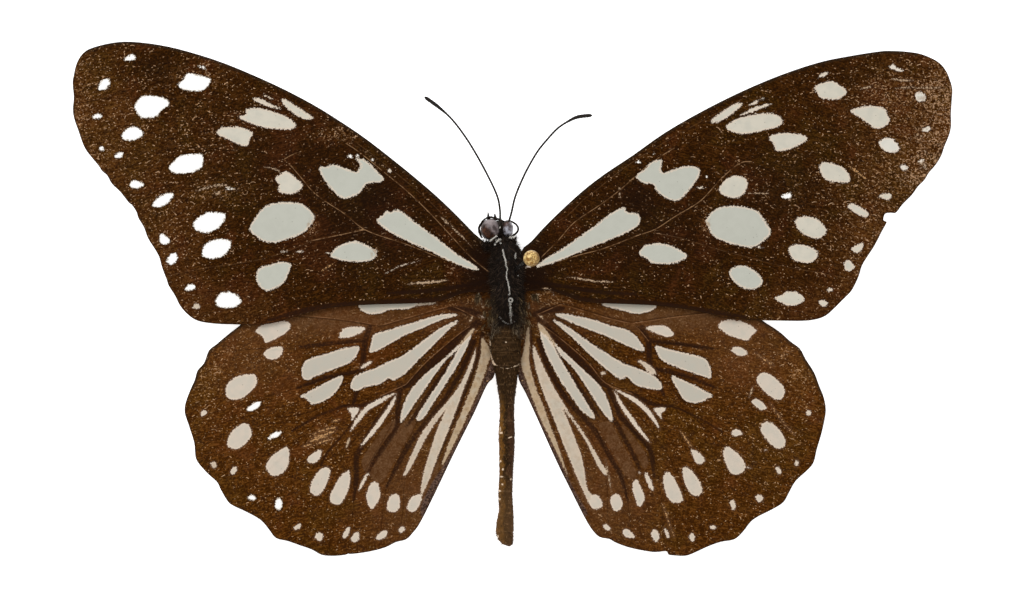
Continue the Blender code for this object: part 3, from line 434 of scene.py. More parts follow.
STREAKS_HINDWING_LEFT = {
    TAN: [
        (0.06, [-4, 0.4, -3.65, 0.25, -3.45, -0.15]), (0.035, [-3.35, 0.2, -3.15, -0.4, -3, -0.9]),
        (0.045, [-4.55, -2.45, -4.3, -2.2, -4.15, -1.8]), (0.09, [-17, -14.5, -17.4, -15.7]),
    ],
    PINK: [
        (0.06, [-3.55, -1.75, -3.1, -1.9, -2.7, -1.95]), (0.13, [-10.6, -0.75, -9.2, -0.5, -7.8, -0.45]),
    ],
    CREAM: [
        (0.24, [-12, -9.75, -13.4, -10.45, -15.2, -11.5, -16.3, -12.9, -17, -14]),
        (0.23, [-12, -9.75, -12.75, -11.3, -14.2, -13.4, -15.4, -14.9, -15.95, -15.6]),
    ],
    OCHRE: [
        (0.07, [-20.8, -14.1, -19.6, -13.7, -18.3, -13.4]),
        (0.07, [-21, -14.6, -19.6, -14.2, -18.4, -13.8]), (0.07, [-21.4, -15, -20.2, -14.6, -19, -14.3]),
        (0.07, [-20.6, -15.2, -19.6, -14.9, -18.6, -14.6]), (0.05, [-22, -15.5, -20.9, -15.2]),
        (0.05, [-18.9, -12.9, -18, -12.6]),
    ],
}
STREAKS_HINDWING_RIGHT = {
    TAN: [
        (0.09, [2, 0.25, 2.45, 0.45, 2.95, 0.42]), (0.045, [2.7, -1.6, 3.1, -1.9, 3.25, -2.2]),
        (0.04, [3.05, -1.85, 3.5, -2.4]), (0.06, [9.8, -16.8, 10, -18, 10.3, -19.5, 10.4, -20]),
        (0.05, [25.3, -9.1, 25.05, -9.8, 24.85, -10.4]),
    ],
    PINK: [
        (0.05, [4.25, 0.75, 4.35, 0.5, 4.4, 0.25]), (0.05, [1.6, -0.55, 1.75, -0.75, 1.7, -1]),
    ],
    CREAM: [
        (0.23, [10.6, -9.4, 12.3, -10.25, 13.6, -11.15, 14.5, -12.1, 15.6, -13.8]),
        (0.21, [10.6, -9.4, 11.4, -11, 12.3, -12.3, 13.5, -13.9, 14.6, -15.2]),
    ],
    OCHRE: [
        (0.05, [25.5, -5.6, 26.5, -6.4, 27.5, -7]), (0.05, [27, -10.8, 28.5, -13, 29.7, -14.3]),
        (0.05, [17.6, -13.8, 18.9, -15.6]), (0.05, [15.8, -21.5, 16.3, -23, 17, -25]),
    ],
}

# Veins: a tone and the line that they follow
VEINS_FOREWING_LEFT = [
    (PALE, [-5.4, 3.5, -8, 4.5, -11, 5.7, -14.2, 6.75, -15.8, 7.5, -17.5, 8.9, -19.5, 10.2, -20.9, 11.3,
     -21.9, 12.5, -23.2, 14, -23.9, 14.6]),
    (PALE, [-23.9, 14.6, -23.2, 15, -22.5, 15.3]), (PALE, [-15.4, 7.25, -18.5, 6.6, -21, 6.1]),
    (BROWN, [-21, 6.1, -22.5, 5.4, -25.5, 4.35, -28.8, 3.7, -32.5, 3.2, -36.3, 2.4]),
    (PALE, [-2.5, 2.9, -3.9, 4, -5, 5.1, -7, 7.3, -9, 9.4, -11, 11.3, -13, 12.95, -15.9, 15.3,
     -17.4, 16.3]),
    (DARK, [-17.4, 16.3, -21, 18.4, -26, 20.9, -31, 23.6, -36, 24.7, -41, 24.3, -45, 23.8]),
    (BROWN, [-4.2, 5.4, -5.4, 6.8, -7.7, 9.3, -9.5, 11, -11.8, 12.9, -15, 15.4, -20, 18.9, -26, 21.9]),
    (DARK, [-20.6, 10.9, -23.5, 10.6, -26, 10.2, -27.9, 8.9, -29.3, 7.4, -31, 6.65, -34, 5.9, -37.2, 5.2]),
    (DARK, [-23, 14, -27, 12.9, -30, 11, -33.5, 9.8, -36, 8.3, -38.8, 7.7]),
    (DARK, [-23.9, 14.7, -28, 14.2, -32, 12.5, -36, 11.9, -38.3, 11.2, -40.8, 10.7]),
    (DARK, [-24.2, 16.4, -28, 15.5, -32, 15.8, -36.5, 15.6, -40, 13.9, -42.7, 13.2]),
    (DARK, [-22.5, 17.3, -27.3, 18.2, -32, 18.6, -38.5, 18.5, -42.5, 17.6, -45.3, 17.1]),
    (DARK, [-24, 19.8, -29, 20.4, -35.5, 21.5, -40, 21.9, -44, 20.8, -46, 20.6]),
    (DARK, [-4, 1.4, -10, 1.2, -18, 0.8, -26, -0.5, -31.5, -1.4, -34, -1.4]),
]
VEINS_FOREWING_RIGHT = [
    (PALE, [4.8, 3.9, 7, 4.6, 9, 5.1, 11, 5.8, 13, 6.6, 15, 7.3, 17, 8.6, 19.5, 10.1, 21, 11.6, 22, 12.7,
     23.8, 14.2, 25, 14.4]),
    (PALE, [3.1, 4.4, 4.9, 6.2, 6.5, 8, 9.3, 9.9, 11.4, 11.5, 14, 13.8, 16, 15.2, 17, 15.8]),
    (BROWN, [4.9, 8.2, 6, 8.9, 7.5, 10.4, 8.6, 11.2, 12, 13.9, 17, 17, 24, 20.9]),
    (BROWN, [15, 6.9, 17.5, 6.4, 20.2, 5.6, 21.5, 5.2, 25, 4.3, 28.5, 3.4, 32.5, 2.7, 36, 1.9]),
    (DARK, [17, 15.8, 21, 18, 27, 21.2, 32, 23.1, 38, 23.6, 44.5, 23]),
    (DARK, [20.5, 10.6, 23, 10.1, 26, 9.7, 27.6, 8.3, 29.3, 6.6, 31, 6.05, 34, 5.2, 37.2, 4.5]),
    (DARK, [22.8, 13.6, 26.5, 12, 30, 10.3, 33.5, 8.9, 36, 7.6, 38.6, 6.8]),
    (DARK, [23.8, 14.3, 28, 13.3, 32, 11.7, 36, 10.8, 38, 10.2, 40.8, 9.8]),
    (DARK, [23.8, 15.8, 28, 14.9, 32, 15, 36.5, 14.5, 40, 12.9, 42.9, 12.1]),
    (DARK, [22, 16.8, 27, 17.5, 32, 17.8, 38.5, 17.4, 42.5, 16.4, 45.4, 15.9]),
    (DARK, [23.8, 19, 29, 19.8, 35.5, 20.7, 40, 20.7, 44, 19.5, 46.1, 19.3]),
    (DARK, [3, 1.3, 10, 1.1, 18, 0.6, 26, -0.7, 31, -1.4, 33.5, -1.2]),
]
VEINS_HINDWING_LEFT = [
    (PALE, [-4, -1.84, -5.1, -1.25, -6.1, -0.82, -6.4, -0.75, -6.8, -0.82, -9.5, -1.55, -12.5, -2.4,
     -13.9, -2.7, -16.5, -2.3, -20, -1.9, -24, -1.7, -27.5, -2.5]),
    (PALE, [-4.5, -2.9, -6.1, -4.1, -8.95, -6.56, -10.86, -8.66, -11.3, -9.03, -13.9, -10.2]),
    (DARK, [-13.9, -10.2, -16.9, -10.9, -19.5, -12.2, -22.5, -14.8, -26.5, -18.7, -29.6, -21.3]),
    (DARK, [-14.2, -2.9, -15.3, -4.3, -18.5, -4.7, -22, -5.2, -26.5, -5.2, -31.6, -5.8]),
    (DARK, [-15.4, -4.5, -16, -7.4, -19.3, -8.2, -22.5, -9.3, -26.3, -10.4, -30, -11.6, -34.2, -12.6]),
    (DARK, [-17.2, -9.2, -20, -11.4, -24, -12.4, -28, -12.3, -31, -13.5, -33.5, -15.4]),
    (DARK, [-11.9, -9.8, -13.6, -11.4, -15.4, -13.4, -17.6, -16.3, -19.1, -19.6, -19.4, -22.5,
     -19.1, -26.8]),
    (DARK, [-11.5, -9.4, -12.2, -12.2, -13.4, -14.6, -15, -17.3, -16.4, -20.2, -16.8, -23.5, -17.2, -26.6]),
    (DARK, [-9.7, -12.3, -11.2, -15.5, -12.6, -18.2, -13.4, -21, -13.9, -26]),
    (DARK, [-3.6, -3.4, -5, -7, -7, -10.7, -9.6, -15, -11.2, -19, -11.4, -22, -11.8, -25]),
]
VEINS_HINDWING_RIGHT = [
    (PALE, [2.7, -1.6, 4.8, -0.68, 5.1, -0.58, 5.5, -0.68, 7, -1.1, 10, -2, 12.2, -2.5, 13, -2.5, 15, -2.2,
     18, -1.8, 22, -1.5, 26, -2.2]),
    (PALE, [12.3, -2.6, 13.2, -3.1, 13.9, -3.9, 14.3, -4.4]),
    (PALE, [3.4, -2.9, 5.4, -4.4, 8, -6.7, 9.8, -8.8, 12.6, -9.9]),
    (DARK, [12.6, -9.9, 15.8, -10.6, 18.5, -12, 21.5, -14.7, 25.3, -18.6, 28.6, -21]),
    (DARK, [14.3, -4.4, 17.5, -4.7, 21, -5.2, 25.3, -5.2, 30.6, -6]),
    (DARK, [14.4, -4.6, 15.2, -7.3, 18.3, -8.1, 21.3, -9.3, 25, -10.3, 29, -11.6, 32.8, -12.5]),
    (DARK, [16.2, -9.2, 19, -11.4, 23, -12.4, 26.8, -12.3, 29.8, -13.5, 32.3, -15.2]),
    (DARK, [10.9, -9.8, 12.6, -11.5, 14.3, -13.4, 16.3, -16.3, 17.9, -19.6, 18.2, -22.5, 18.3, -26.8]),
    (DARK, [10.1, -9.5, 11.3, -12.2, 13.3, -14.4, 14.6, -16.2, 15.3, -18.5, 15.7, -21.5, 16, -26.3]),
    (DARK, [8.8, -13.5, 10, -16.3, 11.4, -18.5, 12.1, -21, 12.6, -25.9]),
    (DARK, [2.6, -3.4, 4, -7, 6, -10.8, 8.6, -15.2, 9.9, -19, 10, -22.5, 10.4, -25]),
]

# Dark bands along the veins: half width and the line that the band follows. Its edge is soft, so
# that a half width of nought still gives a thin, faint line. The first band of each forewing runs
# along its rear margin and is a painted shade of the folded margin.
SHADE_AND_BANDS_FOREWING_LEFT = [
    # Painted shade along the folded rear margin
    (0.16, [-4.5, 0.8, -6.2, 0.4, -8, -0.1, -14, -0.35, -20, -0.85, -25.5, -2.2]),
    (0.1, [-2.3, 1.9, -5, 1.4, -9, 0.85, -13, 0.6]),
]
SHADE_AND_BANDS_FOREWING_RIGHT = [
    # Painted shade along the folded rear margin
    (0.16, [4.2, 0.95, 6.4, 0.2, 8.2, -0.2, 14, -0.4, 20, -1.2, 24.5, -1.9]),
    (0.1, [1.2, 1.9, 5, 1.4, 9, 0.75, 13, 0.5]),
]
BANDS_HINDWING_LEFT = [
    (0.26, [-3.6, -2.5, -5.4, -4, -8, -6.4, -10.3, -8.5, -11.9, -9.6]),
    (0.12, [-4.4, -4.3, -7.2, -7.8, -10.4, -12.5, -11.1, -13.3]),
    (0.15, [-4, -4.4, -5, -6.9, -6.9, -10.3, -9.4, -13.4, -11, -15.6, -13.1, -19.6]),
    (0.16, [-11.8, -9.4, -11.95, -12, -12.1, -13.5, -12.9, -14.7, -14.4, -16.9, -15.1, -18.2]),
    (0.17, [-12.1, -10.1, -14.3, -13, -15.7, -15.4, -16.3, -16.6, -16.3, -18.6, -16.6, -21]),
    (0.1, [-3.1, -3.6, -3.5, -5.6, -4.9, -9.6, -6.9, -14.4, -8.6, -18.6]),
    (0.19, [-14.9, -3, -15.4, -4.6, -15.7, -7.4, -16.6, -10.9]),
    (0.09, [-15.2, -4.3, -18.5, -4.6, -22.2, -5]), (0.09, [-15.8, -7.5, -19.3, -8.2, -22.5, -9.3]),
    (0.1, [-12.6, -9.9, -14.3, -10.7, -16, -11.2, -17.9, -11.2]),
    (0, [-17.6, -11.2, -19.5, -11.9, -21, -12.6, -23, -13.8]),
    (0, [-15.9, -11.4, -17, -13.4, -19.2, -15.9, -20, -17.4]), (0.19, [-3.4, -1.6, -5.2, -1.1, -6.6, -1]),
]
BANDS_HINDWING_RIGHT = [
    (0.25, [2.9, -2.2, 4.4, -3.8, 6.9, -6.3, 9, -8.4, 10.4, -9.5]),
    (0.12, [3.2, -4.2, 5.9, -7.7, 9.1, -12.3]),
    (0.15, [2.8, -4.3, 3.8, -7.2, 5.6, -10.3, 8.3, -13.3, 9.4, -15, 10.7, -17.3, 11.4, -18.5, 12.1, -21]),
    (0.16, [10.2, -9.6, 10.9, -11, 11.3, -12.2, 12.2, -13.2, 13.3, -14.4, 14.1, -15.2, 14.6, -16.2,
     14.9, -18.6]),
    (0.12, [10.6, -12.6, 11.2, -13.5, 12, -15, 12.8, -16.5, 13.4, -17.9]),
    (0.1, [1.9, -3.4, 2.1, -5.4, 3.4, -9.8, 5.3, -14.4, 7, -18.6]),
    (0.19, [13.6, -3, 14.3, -4.6, 14.5, -7, 15.9, -10]), (0.09, [14.3, -4.4, 17.5, -4.7, 21, -5.2]),
    (0.09, [15, -7.3, 18.3, -8.1, 21.3, -9.3]), (0.1, [12.4, -9.8, 15, -11.1, 16.9, -11.2]),
    (0, [16.6, -11.2, 18.2, -11.8, 20, -12.7, 22, -13.9]), (0.19, [2.4, -1.6, 4, -1.1, 5.4, -1]),
]

# Strips of a hindwing, as closed outlines: smooth mauve ones between the bands and a mottled one
# along the inner margin
SMOOTH, MOTTLED = 0, 1
STRIPS_HINDWING_LEFT = {
    SMOOTH: [
        [-12.3, -12.6, -12.1, -13.2, -12.95, -14.3, -13.75, -15.45, -14.5, -16.7, -15, -17.8, -15.5, -18,
         -15.75, -17, -15.3, -16.1, -14.4, -14.8, -13.45, -13.5],
        [-11.4, -12.9, -10.2, -12.7, -10.25, -13.7, -11.2, -15.1, -12.15, -16.7, -12.95, -18.3,
         -13.6, -19.2, -14.4, -19.1, -14.8, -18.3, -14.5, -17.4, -13.7, -16.1, -12.8, -14.7, -12, -13.6],
        [-8.6, -17.5, -8.1, -16.4, -7.6, -17.2, -8.2, -19.6, -9.1, -21.7, -9.8, -21.6, -9.3, -19.8],
    ],
    MOTTLED: [
        [-2.1, -6.4, -1.8, -8.1, -2.7, -9.4, -4, -12, -6, -16, -8, -20.2, -9.3, -22.8, -9.5, -21.6,
         -8.3, -19.2, -7.2, -17.5, -5.4, -14.2, -3.7, -10.4, -2.6, -7.6],
    ],
}
STRIPS_HINDWING_RIGHT = {
    SMOOTH: [
        [11.5, -13, 12.2, -13.8, 13.1, -14.9, 13.9, -16, 14.3, -17.3, 13.8, -17.8, 13.2, -16.6, 12.4, -15.1,
         11.6, -13.7],
        [9.1, -13, 10.3, -12.9, 10.9, -13.9, 11.7, -15.4, 12.5, -16.9, 13, -18.2, 12.6, -18.9, 11.9, -18.5,
         11.1, -17.1, 10.2, -15.5, 9.4, -14.1],
        [7, -17.3, 6.5, -16.3, 6.1, -17.2, 6.7, -19.2, 7.6, -21.4, 8.2, -21.5, 7.7, -19.8],
    ],
    MOTTLED: [
        [0.8, -6.4, 0.8, -8.3, 1.45, -9.9, 2.6, -12.4, 5, -17.7, 7.3, -22.3, 7.8, -22.2, 6.3, -19.6,
         4.9, -16.5, 3.2, -12.9, 1.7, -9, 1.1, -6.9],
    ],
}

# Soft patches on a wing: middle, half sizes, then how much lighter, smoother and more worn it is
PATCHES_FOREWING_LEFT = [
    # The second patch, darker along the rear margin near the root, is painted shade of the folded margin
    (-3.2, 3.4, 2.2, 3.6, -0.9, 0, 0), (-6, 0.6, 5, 0.8, -0.35, 0, 0), (-15, 7, 11, 6.5, -0.55, 0, 0),
    (-22, 16, 12, 6, -0.32, 0, 0), (-14, 11, 2.4, 2, -0.2, 0, 0), (-42.5, 17.5, 5, 8, 0.8, 0, 0.3),
    (-37, 5, 4.5, 7.5, 0.75, 0, 0.25), (-31, -0.8, 5.5, 2.2, 0.75, 0.2, 0),
    (-45.5, 21, 1.3, 6, 0.35, 0, 0.4), (-37.8, 24.2, 3, 2.2, -0.6, 0, 0),
    (-30.5, 11.3, 3, 1.1, 0.1, 0, 0.6), (-18.3, 17.2, 2, 0.8, 0.2, 0, 0.8), (-21, 7.8, 0.7, 1, 0.3, 0, 0.9),
    (-14.4, 4.8, 0.6, 0.7, 0.3, 0, 0.9), (-33, 23.3, 3.5, 1.2, 0.1, 0, 0.4), (-31, 17, 5, 4, 0, 0, 0.25),
]
PATCHES_FOREWING_RIGHT = [
    # The second patch, darker along the rear margin near the root, is painted shade of the folded margin
    (2.2, 3, 2.2, 3.6, -0.9, 0, 0), (5, 0.6, 5, 0.8, -0.35, 0, 0), (13.5, 6.5, 9.5, 6, -0.5, 0, 0),
    (13, 10.7, 2.4, 2.2, -0.4, 0, 0), (45.7, 18.5, 1.5, 6, 0.6, 0, 0.85),
    (44.5, 19.5, 3, 6.5, 0.35, 0, 0.35), (40.8, 13.5, 4, 6.5, 0.6, 0, 0.45),
    (43.2, 14, 1.2, 1.2, 0.6, 0, 1.2), (34.5, 23.8, 3, 2, -0.25, 0, 0), (27, 11.5, 6, 5, -0.3, 0, 0),
    (43.1, 17.2, 0.9, 0.8, 0.4, 0, 1), (45.2, 19.2, 0.6, 1.7, 0.5, 0, 1.1),
    (42.1, 12.6, 1, 0.9, 0.5, 0, 1.1), (44.6, 22.2, 1.3, 0.5, 0.3, 0, 0.9), (40, 21.5, 5, 3, 0.3, 0, 0.5),
    (37, 4.5, 3.2, 6, 0.7, 0, 0.4), (31, -0.8, 5, 2.2, 0.7, 0.2, 0), (20.5, 8, 0.6, 1.1, 0.3, 0, 0.8),
    (31.5, 11.5, 6, 5, -0.1, 0, 0.2),
]
PATCHES_HINDWING_LEFT = [
    (-4.4, -1.4, 2.8, 2.2, -0.6, 0.3, 0.4), (-3.8, 0.1, 0.5, 0.35, 0.9, 0, 1),
    (-6.6, 0.1, 1.2, 0.35, 0.3, 0, 0.9), (-8.5, -6.5, 5, 5, -0.4, 0, 0), (-2.6, -4.2, 0.6, 1.2, 0, 0, 0.6),
    (-18, -2.2, 11, 1.7, 0.6, 0.9, 0), (-27, -6, 5, 3.8, 0.5, 0.3, 0.2), (-29.8, -5.5, 0.5, 0.5, 0.8, 0, 1),
    (-30.9, -7.6, 0.5, 0.5, 0.7, 0, 0.8), (-19.6, -14.3, 1.7, 1.1, 0.1, 0, 0.7),
    (-32, -9.5, 1.6, 4, 0.3, 0, 0.35), (-26, -15.5, 6, 4.5, -0.12, 0, 0.15),
    (-10.5, -21, 5, 6, 0.6, 0.55, 0), (-9, -11.5, 3.5, 3.5, 0.2, 0.35, 0),
]
PATCHES_HINDWING_RIGHT = [
    (3.4, -1.4, 2.8, 2.2, -0.6, 0.3, 0.4), (2.5, 0.15, 0.55, 0.35, 0.9, 0, 1),
    (3.7, 0.75, 0.5, 0.2, 0.6, 0, 1), (4.8, -0.2, 1.3, 0.5, 0.2, 0, 0.8), (7.4, -6.5, 4.8, 5, -0.4, 0, 0),
    (1.3, -3.9, 0.6, 1.4, 0, 0, 0.8), (17.5, -2, 10.5, 1.5, 0.6, 0.9, 0),
    (24.5, -5.8, 6, 3.5, 0.5, 0.3, 0.2), (28.7, -5.6, 0.5, 0.5, 0.9, 0, 1),
    (29.7, -7.8, 0.5, 0.5, 0.7, 0, 0.8), (30.6, -9, 1.6, 4, 0.3, 0, 0.35),
    (25, -15.5, 6, 4.5, -0.12, 0, 0.15), (9.6, -21, 5, 6, 0.6, 0.55, 0),
    (8.5, -11.5, 3.5, 3.5, 0.2, 0.35, 0),
]

# Body sections along Y: distance, middle X, middle Z, half width, half height
THORAX = np.array([
    (6.05, -0.75, 3.5, 0.78, 0.95), (5.8, -0.72, 3.4, 1.1, 1.35), (5.0, -0.66, 3.1, 1.45, 1.95),
    (4.0, -0.62, 2.75, 1.62, 2.5), (2.5, -0.56, 2.45, 1.7, 2.85), (1.0, -0.5, 2.4, 1.68, 2.9),
    (-0.5, -0.42, 2.45, 1.58, 2.75), (-1.6, -0.38, 2.55, 1.42, 2.2), (-2.3, -0.38, 2.65, 1.2, 1.6),
    (-2.6, -0.4, 2.7, 0.98, 1.18),
])
ABDOMEN = np.array([
    (-2.5, -0.48, 2.8, 0.6, 0.7), (-2.75, -0.52, 2.9, 1.05, 1.1), (-3.2, -0.64, 2.95, 1.42, 1.32),
    (-4.5, -0.72, 2.95, 1.64, 1.4), (-6.0, -0.66, 2.85, 1.56, 1.35), (-6.9, -0.6, 2.7, 1.4, 1.25),
    (-7.6, -0.58, 2.45, 1.22, 1.15), (-9.0, -0.54, 2.1, 1.02, 1.05), (-10.5, -0.52, 1.85, 0.8, 0.95),
    (-12.0, -0.52, 1.75, 0.74, 0.88), (-14.0, -0.56, 1.6, 0.85, 0.92), (-16.0, -0.55, 1.5, 0.79, 0.88),
    (-18.5, -0.62, 1.35, 0.7, 0.82), (-20.5, -0.71, 1.25, 0.74, 0.82), (-22.2, -0.62, 1.17, 0.74, 0.82),
    (-23.3, -0.72, 1.12, 0.9, 0.9), (-24.5, -0.78, 1.08, 0.93, 0.92), (-25.3, -0.65, 1.05, 0.78, 0.8),
    (-25.75, -0.45, 1.05, 0.5, 0.55), (-25.95, -0.3, 1.05, 0.08, 0.1),
])
ABDOMEN_RIM = {
    WHITE: [
        (0.05, [-2.26, -5.2, -2.2, -5.8, -2.12, -6.3, -1.8, -6.8, -1.35, -7.1]),
        (0.018, [-1.4, -7.1, -0.5, -7.25, 0.2, -7.05]), (0.045, [0.1, -7.1, 0.5, -6.95, 0.85, -6.7]),
        (0.12, [-2.16, -6.1, -2, -6.6, -1.6, -6.98]), (0.09, [-2.34, -4.3, -2.26, -4.9]),
        (0.05, [-0.75, -4.5, -0.45, -4.52]), (0.05, [-0.4, -14.55, 0.1, -14.4]),
    ],
}
ABDOMEN_CRUMBS = {
    WHITE: [(-1.25, -13.6, 0.13, 0.25), (-1.15, -14, 0.2, 0.13), (-1.2, -17, 0.12, 0.12),
        (-0.95, -17.85, 0.11, 0.11), (-1.1, -18.6, 0.18, 0.08), (-1, -19.4, 0.12, 0.12),
        (-1.3, -20.1, 0.16, 0.11), (-1.3, -20.95, 0.11, 0.11), (-0.1, -18.85, 0.09, 0.12),
        (-1.5, -24.9, 0.08, 0.16)],
}
ABDOMEN_JOINTS = (-3.4, -4.1, -5.4, -7.0, -9.0, -11.0, -12.8, -14.3, -16.4, -18.7, -20.2, -22.8, -24.4)

# Head, eyes and pin. An eye has its middle, its radii, the direction in which its painted grey
# reflection grows, how far along that direction the painted reflection begins, and the reflection's
# brightest print colour. The line of the hair on the left eye's rim follows them.
HEAD_CENTRE, HEAD_RADII = (-1.2, 7.2, 3.25), (1.1, 1.05, 0.85)
NECK_CENTRE, NECK_RADII = (-0.9, 6.25, 3.1), (1.15, 0.6, 0.85)
EYES = {
    "eye_left": ((-2.25, 7.24, 3.5), (1.03, 1.1, 1.12), (0.707, 0.707), 3.55, (152, 140, 140)),
    "eye_right": ((-0.48, 7.3, 3.4), (0.62, 0.95, 1.0), (0.6, -0.8), -6.4, (190, 190, 200)),
}
EYE_RIM = [(-3.1, 6.4, 3.2), (-3.4, 6.9, 3.2), (-3.42, 7.5, 3.2), (-3.1, 8.1, 3.3), (-2.6, 8.5, 3.3),
           (-2.0, 8.5, 3.3), (-1.4, 8.35, 3.5), (-0.9, 8.15, 3.6)]
PIN_FOOT = (-0.59, 2.49, 0.03)
PIN_HEAD_CENTRE, PIN_HEAD_RADIUS = (2.0, 4.17, 13.5), 0.85
PIN_SHAFT_RADIUS = 0.24
PIN_RINGS, PIN_REACH = 40, 0.97

# Antennae: the line of each from the head to the tip, the thicker club at its end, how its radius
# swells from ring to ring, and the length of the rounded tip
ANTENNA_RADIUS, CLUB_RADIUS, CLUB_LENGTH = 0.108, 0.2, 3.0
ANTENNA_SWELL, ANTENNA_RING_LENGTH, ANTENNA_TIP = 0.05, 0.32, 0.35
ANTENNAE = {
    "antenna_left": [
        (-1.24, 8.27, 4.05), (-1.26, 9.29, 4.5), (-1.5, 10.6, 4.7), (-2.21, 12.24, 4.75),
        (-3.57, 14.81, 4.65), (-4.88, 16.93, 4.45), (-6.22, 18.69, 4.2), (-7.56, 19.95, 4.0),
        (-9.15, 21.12, 3.8),
    ],
    "antenna_right": [
        (-0.33, 8.08, 3.92), (-0.06, 9.0, 4.4), (0.26, 10.4, 4.65), (0.74, 11.71, 4.75),
        (1.54, 13.44, 4.7), (2.63, 15.33, 4.55), (3.68, 16.65, 4.4), (4.76, 17.8, 4.25),
        (5.84, 18.53, 4.1), (6.91, 19.01, 4.0), (8.4, 19.18, 3.85),
    ],
}

# Proboscis: the way down from the mouth, then an oval loop that sinks while it turns
PROBOSCIS_MOUTH = [(-1.8, 7.9, 2.9), (-1.84, 8.1, 2.6), (-1.96, 8.28, 2.25)]
LOOP_CENTRE, LOOP_RADII = (-1.4, 7.35), (2.05, 1.02)
LOOP_HEIGHT, LOOP_FALL = 2.1, 0.6
LOOP_START_DEGREES, LOOP_TURN_DEGREES = 105, 315
PROBOSCIS_RADIUS, PROBOSCIS_TAPER = 0.13, 0.03

# Palps, and the joints of the left legs from the body to the foot with the radius at each of them.
# The right legs mirror the left ones at the middle of the body.
PALPS = {
    "palp_left": [(-2.4, 8.15, 3.0), (-2.47, 8.6, 3.15), (-2.5, 9.0, 3.3)],
    "palp_right": [(-1.72, 8.25, 3.0), (-1.77, 8.6, 3.1), (-1.8, 8.86, 3.2)],
}
LEGS = {
    "midleg_left": [(-2.4, 2.4, 1.2), (-3.3, 3.4, 1.0), (-3.5, 3.3, 0.8), (-2.95, -0.4, 0.3),
                    (-2.75, -1.6, 0.16), (-2.6, -2.9, 0.13)],
    "hindleg_left": [(-2.2, -0.6, 1.3), (-3.5, -2.6, 1.1), (-3.6, -3.0, 0.9), (-3.1, -5.2, 0.3),
                     (-2.75, -6.4, 0.16), (-2.5, -7.4, 0.13)],
}
PALP_RADIUS, PALP_TAPER = 0.26, 0.88
LEG_RADII = (0.26, 0.3, 0.2, 0.17, 0.12, 0.09)
LOWEST_ROOT = 0.1
BODY_MIDDLE = -0.55
THORAX_SOLE = 0.14

# Skins of the body: corners of a ring, rings of each part, and how the skin swells before a joint
# of the abdomen and is drawn in behind it
RING_SIDES, THORAX_RINGS, ABDOMEN_RINGS = 72, 160, 420
JOINT_SWELL, JOINT_SWELL_LENGTH = 0.035, 0.35
JOINT_GROOVE, JOINT_GROOVE_LENGTH = 0.05, 0.15
JOINT_RIM_LENGTH = 0.12
JOINTED_REAR, JOINTED_FRONT = -25.4, -2.8

# A hair: how far along it each of its three rings lies and how thick it is there, and the turns of
# the three corners of a ring. The rings of tubes and hairs are turned from a fixed direction.
HAIR_RINGS = ((0.0, 1.0), (0.35, 0.9), (0.7, 0.55))
HAIR_SIDES = (0.0, 2.094, 4.189)
HAIR_REFERENCE, TUBE_REFERENCE = (0.31, 0.47, 0.83), (0.13, 0.21, 0.97)

# White scales: the lines that they follow, with their spread and number, a small ring of them, how
# high they lie over the thorax, and the heights that they have on the collar and on the head. The
# small clump on the top of the head stands for a glint there, a painted highlight.
SCALE_LINES = [
    ([(-0.96, 5.15), (-0.82, 4.5), (-0.68, 4.02), (-0.62, 3.5)], 0.035, 300),
    ([(-0.62, 3.5), (-0.49, 3.17), (-0.59, 2.6), (-0.54, 2.2), (-0.4, 1.7), (-0.3, 1.2)], 0.018, 280),
    ([(-0.3, 1.2), (-0.24, 0.4)], 0.03, 40), ([(-0.17, -0.45), (-0.14, -1.2), (-0.12, -1.8)], 0.06, 200),
    ([(-0.12, -1.8), (-0.1, -2.4)], 0.03, 60), ([(0.34, 4.25), (0.37, 4.8)], 0.028, 90),
    ([(0.85, 4.95), (0.87, 5.0)], 0.03, 14), ([(-2.3, 6.1), (-1.62, 6.6)], 0.025, 110),
    ([(-1.6, 6.05), (-1.2, 6.25)], 0.08, 90), ([(-0.25, 6.45), (0.25, 6.5)], 0.06, 60),
    ([(-1.8, 5.72), (-1.75, 5.74)], 0.03, 16), ([(-1.2, 5.85), (-1.16, 5.88)], 0.03, 12),
    # Painted highlight: a few white scales stand for a glint on the top of the head
    ([(-1.27, 7.45), (-1.22, 7.55)], 0.02, 16),
    ([(-1.3, -1.85), (-0.9, -2.3), (-0.45, -2.5), (-0.1, -2.5), (0.25, -2.3)], 0.03, 110),
    ([(0.6, 2.45), (0.62, 2.5)], 0.02, 8), ([(-3.42, 0.7), (-3.5, 0.3)], 0.04, 20),
]
SCALE_RING_CENTRE, SCALE_RING_RADIUS = (-0.14, -0.08), 0.19
SCALE_RING_SPREAD, SCALE_RING_COUNT = 0.025, 190
SCALE_LIFT = 0.3
COLLAR_START, COLLAR_TOP = 5.6, 4.7
HEAD_START, HEAD_TOP = 7.0, 4.35

# Stage: the board, the light of the surroundings, two lamps (place, size in metres, power in watts)
# and the camera, whose height is in metres
BOARD_HALF_WIDTH = 900.0
SURROUNDING_LIGHT = 0.54
LAMPS = {"window": ((-260, 330, 520), 0.36, 2.0), "fill": ((320, -180, 480), 0.5, 0.75)}
CAMERA_HEIGHT, CAMERA_LENS, SENSOR_WIDTH, NEAREST_VIEW = 0.5978, 200.0, 36.0, 0.01


def ink(red, green, blue):
    """Linear colour of a print value given as 0 to 255 for each channel."""
    share = np.array([red, green, blue]) / 255.0
    linear = np.where(share <= 0.04045, share / 12.92, ((share + 0.055) / 1.055) ** 2.4)
    return (*(float(v) for v in linear), 1.0)


def pairs(numbers):
    """Points of a flat list in which X and Y follow each other in turn."""
    return np.reshape(np.asarray(numbers, float), (-1, 2))


